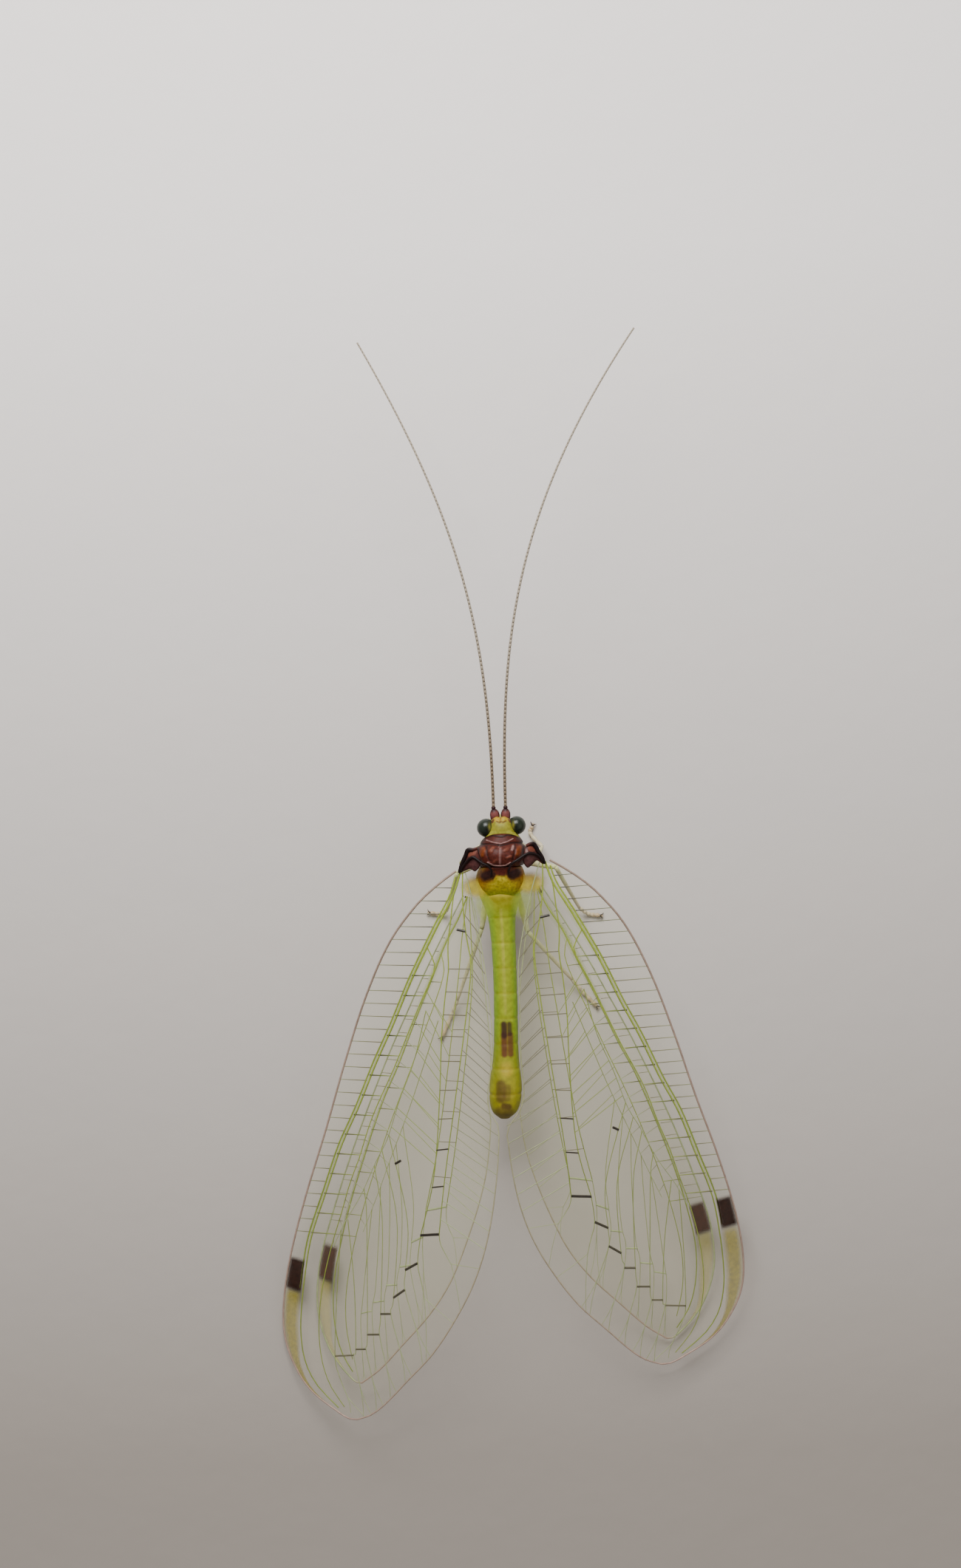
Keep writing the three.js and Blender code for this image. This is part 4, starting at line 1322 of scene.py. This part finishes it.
def lay_pads(wing):
    """Stigma, yellow band, green strip and green root, laid along the wing's main vein."""
    fore = wing.kind == "forewing"
    plan = FORE_NET if fore else HIND_NET
    start, end = plan["stigma"][wing.side]
    tip = plan["radius"][-1][0] + 0.008
    tag = f"{wing.kind}_{wing.side}"
    strip_half = 0.005 if fore else 0.001

    def radius_at(t):
        return along(plan["radius"], t) + 0.001

    def margin_at(t):
        return wing.front_edge(t) - 0.001

    def band_low(t):
        return radius_at(t) + (margin_at(t) - radius_at(t)) * 0.8 * smooth_step(0.88, 1.0, t)

    def beside_radius(offset, narrowing=0.0):
        return lambda t: radius_at(t) + offset * (1 - narrowing * t / ROOT_SHARE)

    stigma = pad(wing, f"stigma_{tag}", (start - STIGMA_OVERLAP, end + STIGMA_OVERLAP), radius_at,
                 margin_at, 0.03, C["stigma"] if fore else C["stigma_red"], STIGMA, 0.16, 0.25)
    band = pad(wing, f"yellow_band_{tag}", (end - STIGMA_OVERLAP, tip), band_low, margin_at, 0.014,
               C["stigma_yellow"] if fore else C["band_pale"], BAND_VEILS[wing.kind], 0.1, 0.4)
    strip = pad(wing, f"green_stripe_{tag}", (0.0, start), beside_radius(-0.006),
                beside_radius(strip_half), 0.012, C["vein_yellow"], GREEN_VEIL, 0.1, 0.5)
    root = pad(wing, f"green_root_{tag}", (0.0, ROOT_SHARE), beside_radius(-0.016, 0.6),
               beside_radius(0.009, 0.6), 0.01, C["lime"], GREEN_VEIL, 0.5, 0.5)
    dress(stigma, "wing")
    for film in (band, strip, root):
        dress(let_light_through(film), "wing")


for wing in wings:
    lay_pads(wing)

# %% [markdown]
# ## Wing hinges
# Dark bars brace each forewing where it meets the thorax. They could be cut out of the thorax's own
# skin, but they stand free of it in places, so they are short bent cords with a flattened section,
# over a brown flap that fills the hinge.

# %% Hinge bars
HINGES = {
    "left": dict(
        arm=[(-0.88, 0.1, 3.74), (-1.03, 0.05, 3.72), (-1.22, 0.04, 3.68), (-1.31, -0.16, 3.62),
             (-1.46, -0.46, 3.56), (-1.57, -0.78, 3.5)],
        inner=[(-1.5, -0.72, 3.56), (-1.38, -0.5, 3.66), (-1.2, -0.3, 3.76), (-1.03, -0.22, 3.82),
               (-0.72, -0.44, 3.9), (-0.51, -0.55, 3.9), (-0.38, -0.72, 3.84), (-0.4, -0.88, 3.78)],
        flap=[(-0.86, 0.06), (-1.05, 0.03), (-1.22, 0.02), (-1.33, -0.2), (-1.45, -0.46),
              (-1.57, -0.8), (-1.36, -0.72), (-1.15, -0.65), (-0.98, -0.74), (-0.8, -0.56),
              (-0.76, -0.3)],
    ),
    "right": dict(
        arm=[(0.9, 0.14, 3.74), (1.06, 0.2, 3.72), (1.2, 0.18, 3.68), (1.33, -0.06, 3.62),
             (1.48, -0.3, 3.56), (1.57, -0.54, 3.5)],
        inner=[(1.5, -0.46, 3.56), (1.34, -0.24, 3.68), (1.12, -0.14, 3.78), (0.9, -0.16, 3.84),
               (0.57, -0.36, 3.92), (0.36, -0.49, 3.92), (0.25, -0.72, 3.86), (0.24, -0.88, 3.8)],
        flap=[(0.88, 0.1), (1.06, 0.17), (1.18, 0.14), (1.36, -0.1), (1.48, -0.3), (1.57, -0.55),
              (1.44, -0.52), (1.28, -0.42), (1.06, -0.6), (0.92, -0.66), (0.8, -0.5), (0.76, -0.3)],
    ),
}
FLAP_MARKS = {
    "left": [([(-1.0, -0.02), (-1.16, -0.1)], 0.12, C["chestnut_light"], 0.8, 0.0),
             ([(-0.9, -0.12), (-0.86, -0.3)], 0.05, C["chestnut"], 0.8, 0.0)],
    "right": [([(1.04, 0.06), (1.14, 0.0)], 0.1, C["chestnut_light"], 0.8, 0.0),
              ([(0.9, 0.0), (0.92, -0.08)], 0.05, C["pale_line"], 0.6, 0.0)],
}


def flap(name, outline, marks, rings=9, dome=0.07, half_thick=0.05):
    """A domed plate inside a closed outline."""
    rim = thread(outline + outline[:1], 72)[:-1]
    cx, cy = (sum(p[k] for p in rim) / len(rim) for k in (0, 1))

    def place(x, y, share, side):
        level = 3.74 - 0.3 * smooth_step(0.85, 1.6, abs(x))
        return x, y, level + (dome if side > 0 else -half_thick) * (1 - share ** 4)

    loops = []
    for side, shares in ((1, range(1, rings + 1)), (-1, range(rings - 1, 0, -1))):
        for k in shares:
            share = k / rings
            loops.append([place(cx + (x - cx) * share, cy + (y - cy) * share, share, side)
                          for x, y in rim])
    points, faces = stitch(loops)
    paint = [draw_marks(C["flap"], marks, x, y) for x, y, _ in points]
    return make_piece(name, points, faces, THORAX, paint)


ARM_STEPS = 40
BAR_STEPS = 56
for side, bars in HINGES.items():
    arm_shares = [i / ARM_STEPS for i in range(ARM_STEPS + 1)]
    arm_radii = [0.05 + 0.03 * math.sin(math.pi * share) for share in arm_shares]
    arm_colours = [blend(C["chestnut"], BLACK, smooth_step(0, 0.35, share)) for share in arm_shares]
    arm = tube_piece(f"hinge_arm_{side}", thread(bars["arm"], ARM_STEPS), arm_radii, THORAX,
                     arm_colours, 14, 0.7)
    bar_radii = [0.035 + 0.012 * math.sin(math.pi * i / BAR_STEPS) for i in range(BAR_STEPS + 1)]
    bar = tube_piece(f"hinge_bar_{side}", thread(bars["inner"], BAR_STEPS), bar_radii, THORAX,
                     [BLACK] * len(bar_radii), 12, 0.8)
    for piece in (arm, bar, flap(f"hinge_flap_{side}", bars["flap"], FLAP_MARKS[side])):
        dress(piece, "dark_thorax")
print("hinges at", round(HINGES["right"]["arm"][2][0], 2), "mm to each side")

# %% [markdown]
# ## Soft skin behind the hinges
# The hindwings grow out of soft yellow skin, and a green skirt of membrane joins each to the side
# of the abdomen. Its folds could be modelled one by one. A flat lens whose paint fades out towards
# its rim is much simpler and gives the same soft tint from above.

# %% Hindwing roots and skirts
SKIRT_STRENGTH = 0.45
ROOTS = {
    "hindwing_root_left": ((-0.92, -1.32, 3.24), (0.74, 0.5, 0.06), C["yellow"], 1.0),
    "hindwing_root_right": ((0.98, -1.22, 3.24), (0.74, 0.5, 0.06), C["yellow"], 1.0),
    "wing_skirt_left": ((-0.66, -2.0, 3.2), (0.5, 0.75, 0.04), C["lime"], SKIRT_STRENGTH),
    "wing_skirt_right": ((0.7, -1.95, 3.2), (0.5, 0.75, 0.04), C["lime"], SKIRT_STRENGTH),
}
ROOT_VEIL = veil_material("soft hinge skin", 0.92, 0.5)


def root_piece(name, centre, reach, colour, strength):
    """A flat lens of soft skin, painted above its middle and fading to its rim."""

    def root_colour(x, y, z):
        if z < centre[2]:
            return (*colour, 0.0)
        away = math.hypot((x - centre[0]) / reach[0], (y - centre[1]) / reach[1])
        tinted = blend(colour, C["orange"], 0.6 * smooth_step(-1.3, -1.0, y))
        return (*tinted, strength * (1 - smooth_step(0.4, 1.0, away)))

    return sculpt(name, egg_shape(centre, reach), 48, 40, ROOT_VEIL, root_colour)


for name, shape in ROOTS.items():
    dress(let_light_through(root_piece(name, *shape)), "yellow_thorax")
print("roots:", list(ROOTS))

# %% [markdown]
# ## Feelers
# The flagellum is a string of well over a hundred beads. They could be copies placed by a loop;
# here a tree walks along each feeler's curve and sets a small flared cylinder at every step, sized
# by the thickness there, so the beads follow any curve.

# %% Bead tree
bead_tree, bead_in, bead_out = new_tree(
    "Beads along strands", [("Spacing", "NodeSocketFloat"), ("Material", "NodeSocketMaterial")])
to_curve = add_node(bead_tree, "GeometryNodeMeshToCurve")
resample = add_node(bead_tree, "GeometryNodeResampleCurve", mode="LENGTH")
tangent = add_node(bead_tree, "GeometryNodeInputTangent")
align = add_node(bead_tree, "FunctionNodeAlignRotationToVector", axis="Z")
bead = add_node(bead_tree, "GeometryNodeMeshCone",
                {"Vertices": 8, "Radius Top": 1.08, "Radius Bottom": 0.82, "Depth": 1.0})
size = add_node(bead_tree, "ShaderNodeCombineXYZ")
overlap = add_node(bead_tree, "ShaderNodeMath", operation="MULTIPLY")
overlap.inputs[1].default_value = 1.04
thickness = named_value(bead_tree, "thickness")
instance = add_node(bead_tree, "GeometryNodeInstanceOnPoints")
link = bead_tree.links.new
link(bead_in.outputs["Geometry"], to_curve.inputs["Mesh"])
link(to_curve.outputs["Curve"], resample.inputs["Curve"])
link(bead_in.outputs["Spacing"], resample.inputs["Length"])
link(tangent.outputs["Tangent"], align.inputs["Vector"])
link(bead_in.outputs["Spacing"], overlap.inputs[0])
link(thickness, size.inputs["X"])
link(thickness, size.inputs["Y"])
link(overlap.outputs["Value"], size.inputs["Z"])
link(resample.outputs["Curve"], instance.inputs["Points"])
link(bead.outputs["Mesh"], instance.inputs["Instance"])
link(align.outputs["Rotation"], instance.inputs["Rotation"])
link(size.outputs["Vector"], instance.inputs["Scale"])
finish_tree(bead_tree, instance.outputs["Instances"], bead_in, bead_out)
print("bead tree has", len(bead_tree.nodes), "nodes")

# %% Feelers
FEELERS = {
    "left": [(-0.24, 1.56, 3.08), (-0.25, 8, 4.6), (-1.2, 12, 5.0), (-4.63, 18.47, 3.7)],
    "right": [(0.2, 1.57, 3.08), (0.17, 7.5, 4.6), (0.75, 12.2, 5.0), (5.27, 18.69, 3.9)],
}
SCAPES = {
    "left": [(-0.2, 1.04, 2.95), (-0.2, 1.28, 3.02), (-0.24, 1.5, 3.07)],
    "right": [(0.2, 1.04, 2.95), (0.2, 1.28, 3.02), (0.2, 1.51, 3.07)],
}
SCAPE_RADII = [(0, 0.14), (0.3, 0.17), (0.6, 0.175), (0.8, 0.145), (0.93, 0.105), (1, 0.07)]
SCAPE_STEPS = 28
SCAPE_SIDES = 28
FEELER_STEPS = 120
FEELER_ROOT = 0.06
FEELER_TIP = 0.034
BEAD_SPACING = 0.15
PEDICEL_STEPS = 8


def cubic(handles, t):
    weights = ((1 - t) ** 3, 3 * t * (1 - t) ** 2, 3 * t * t * (1 - t), t ** 3)
    return tuple(sum(w * p[axis] for w, p in zip(weights, handles)) for axis in range(3))


def scape_piece(side):
    """The thick first joint: dusty red on top, dark along its flanks and at its end."""
    path = thread(SCAPES[side], SCAPE_STEPS)
    radii = [along(SCAPE_RADII, i / SCAPE_STEPS) for i in range(SCAPE_STEPS + 1)]
    points, faces = stitch(tube_rings(path, radii, SCAPE_SIDES))
    paint = []
    for k, (x, _, _) in enumerate(points):
        i = min(k // SCAPE_SIDES, SCAPE_STEPS)
        away = abs(x - path[i][0]) / radii[i]
        dark = max(smooth_step(0.7, 0.97, away), smooth_step(0.72, 0.95, i / SCAPE_STEPS))
        paint.append(blend(C["scape"], C["scape_edge"], dark))
    return make_piece(f"scape_{side}_skin", points, faces, HEAD, paint)


def flagellum_piece(side):
    """The long string of beads, thinning and greying to its tip."""
    shares = [i / FEELER_STEPS for i in range(FEELER_STEPS + 1)]
    line = [cubic(FEELERS[side], share) for share in shares]
    widths = [FEELER_ROOT + (FEELER_TIP - FEELER_ROOT) * share for share in shares]
    colours = [blend(C["feeler_base"], C["feeler"], smooth_step(0, 0.4, share)) for share in shares]
    feeler = strand_object(f"flagellum_{side}", [(line, widths, colours)])
    return apply_tree(feeler, bead_tree, Spacing=BEAD_SPACING * MM, Material=FEELER)


def pedicel_piece(side):
    """The small joint between scape and flagellum."""
    start, end = SCAPES[side][-1], tuple(Vector(FEELERS[side][0]) + Vector((0, 0.03, 0.01)))
    shares = [i / PEDICEL_STEPS for i in range(PEDICEL_STEPS + 1)]
    radii = [0.066 + 0.018 * math.sin(math.pi * share) for share in shares]
    return tube_piece(f"pedicel_{side}", [blend(start, end, share) for share in shares], radii, HEAD,
                      [C["scape_edge"]] * len(radii), 16)


for side in FEELERS:
    dress(flagellum_piece(side), "feeler",
          *[f"flagellum_{part}_{side}" for part in ("base", "middle", "tip")])
    dress(scape_piece(side), "scape", f"scape_{side}")
    dress(pedicel_piece(side), "scape")

# %% [markdown]
# ## Legs
# Each leg is three skins: hip to knee, shin, and a foot of five short beads. A pad and a pair of
# claws are added at its end. One skin could do it, but each of the three takes the place of its own
# solids. One table of joints per leg is enough, and functions shared by all six do the rest.

# %% Legs
BEND_LEVEL = 0.12
TOE_LEVEL = 0.105
FOOT_STEPS = 50
FOOT_JOINTS = 5
CLAW_STEPS = 8
LEGS = {
    "fore_right": [(0.4, 0.36, 2.36), (0.72, 0.18, 1.65), (1.3, -0.42, 1.45), (1.57, 0.0, 0.5),
                   (1.15, 0.5), (1.22, 0.78)],
    "fore_left": [(-0.4, 0.36, 2.36), (-0.7, 0.14, 1.65), (-1.5, -0.5, 1.45), (-1.05, -0.4, 0.5),
                  (-0.66, 0.08), (-0.48, 0.6)],
    "mid_right": [(0.5, -0.3, 2.25), (0.82, -0.5, 1.6), (2.0, -0.72, 2.3), (2.9, -2.35, 0.45),
                  (3.25, -2.6), (3.68, -2.68)],
    "mid_left": [(-0.5, -0.3, 2.25), (-0.82, -0.5, 1.6), (-1.65, -0.85, 2.25), (-2.07, -2.25, 0.45),
                 (-2.3, -2.45), (-2.72, -2.4)],
    "hind_right": [(0.42, -1.15, 2.2), (0.56, -1.55, 1.6), (0.9, -3.1, 1.75), (2.55, -5.05, 0.45),
                   (3.0, -5.6), (3.46, -6.1)],
    "hind_left": [(-0.42, -1.15, 2.2), (-0.56, -1.55, 1.6), (-0.8, -2.95, 1.75), (-1.8, -5.7, 0.45),
                  (-2.05, -6.3), (-2.42, -7.1)],
}


def limb(name, joints, thick, colours, swells, sides=14, steps=14):
    """A skin through joints, each stretch a gentle barrel."""
    path, radii, paint = [], [], []
    for k in range(len(joints) - 1):
        for i in range(steps + (k == len(joints) - 2)):
            share = i / steps
            path.append(blend(joints[k], joints[k + 1], share))
            swell = math.sin(math.pi * share) ** 0.7 if 0 < share < 1 else 0
            radii.append(thick[k] + (thick[k + 1] - thick[k]) * share + swells[k] * swell)
            paint.append(blend(colours[k], colours[k + 1], share))
    return tube_piece(name, path, radii, LEG, paint, sides)


def claw_pair(leg, toe, ahead):
    """Two hooked claws beside a soft pad."""
    sideways = Vector((-ahead.y, ahead.x, 0))
    start = Vector(toe)
    for turn, tag in ((-1, "a"), (1, "b")):
        way = [start, start + ahead * 0.09 + sideways * 0.06 * turn + Vector((0, 0, 0.02)),
               start + ahead * 0.13 + sideways * 0.12 * turn - Vector((0, 0, 0.085))]
        path = thread([tuple(p) for p in way], CLAW_STEPS)
        radii = [0.03 * (1 - i / (CLAW_STEPS + 1)) + 0.004 for i in range(CLAW_STEPS + 1)]
        claw = tube_piece(f"claw_{leg}_{tag}", path, radii, LEG, [C["claw"]] * len(radii), 8)
        dress(claw, "leg")
    sole_shape = egg_shape(start + ahead * 0.07, (0.055, 0.055, 0.03))
    sole = sculpt(f"pad_{leg}", sole_shape, 14, 10, LEG, lambda x, y, z: C["tarsus"])
    dress(sole, "leg")


def foot_piece(leg, ankle, bend, toe):
    """Five short beads from the ankle to the claws, flat on the floor from the bend on."""
    path = thread([ankle, (*bend, BEND_LEVEL), (*toe, TOE_LEVEL)], FOOT_STEPS)
    radii, colours = [], []
    for i in range(FOOT_STEPS + 1):
        share = i / FOOT_STEPS
        radii.append(0.072 + 0.013 * math.cos(2 * math.pi * FOOT_JOINTS * share + math.pi))
        colours.append(blend(C["leg"], C["tarsus"], smooth_step(0.3, 0.9, share)))
    foot = tube_piece(f"foot_{leg}", path, radii, LEG, colours, 12)
    return foot, path


for leg, (hip, trochanter, knee, ankle, bend, toe) in LEGS.items():
    upper = limb(f"leg_{leg}", [hip, trochanter, knee], [0.19, 0.095, 0.08],
                 [C["leg"], C["leg"], C["leg_green"]], [0.05, 0.03])
    dress(upper, "leg", f"coxa_{leg}", f"femur_{leg}")
    lower = limb(f"shin_{leg}", [knee, ankle], [0.08, 0.058], [C["leg_green"], C["leg"]], [0.008])
    dress(lower, "leg", f"tibia_{leg}")
    foot, path = foot_piece(leg, ankle, bend, toe)
    dress(foot, "leg", f"tarsus_{leg}")
    claw_pair(leg, path[-1], (Vector(path[-1]) - Vector(path[-6])).normalized())
print("legs:", len(LEGS))
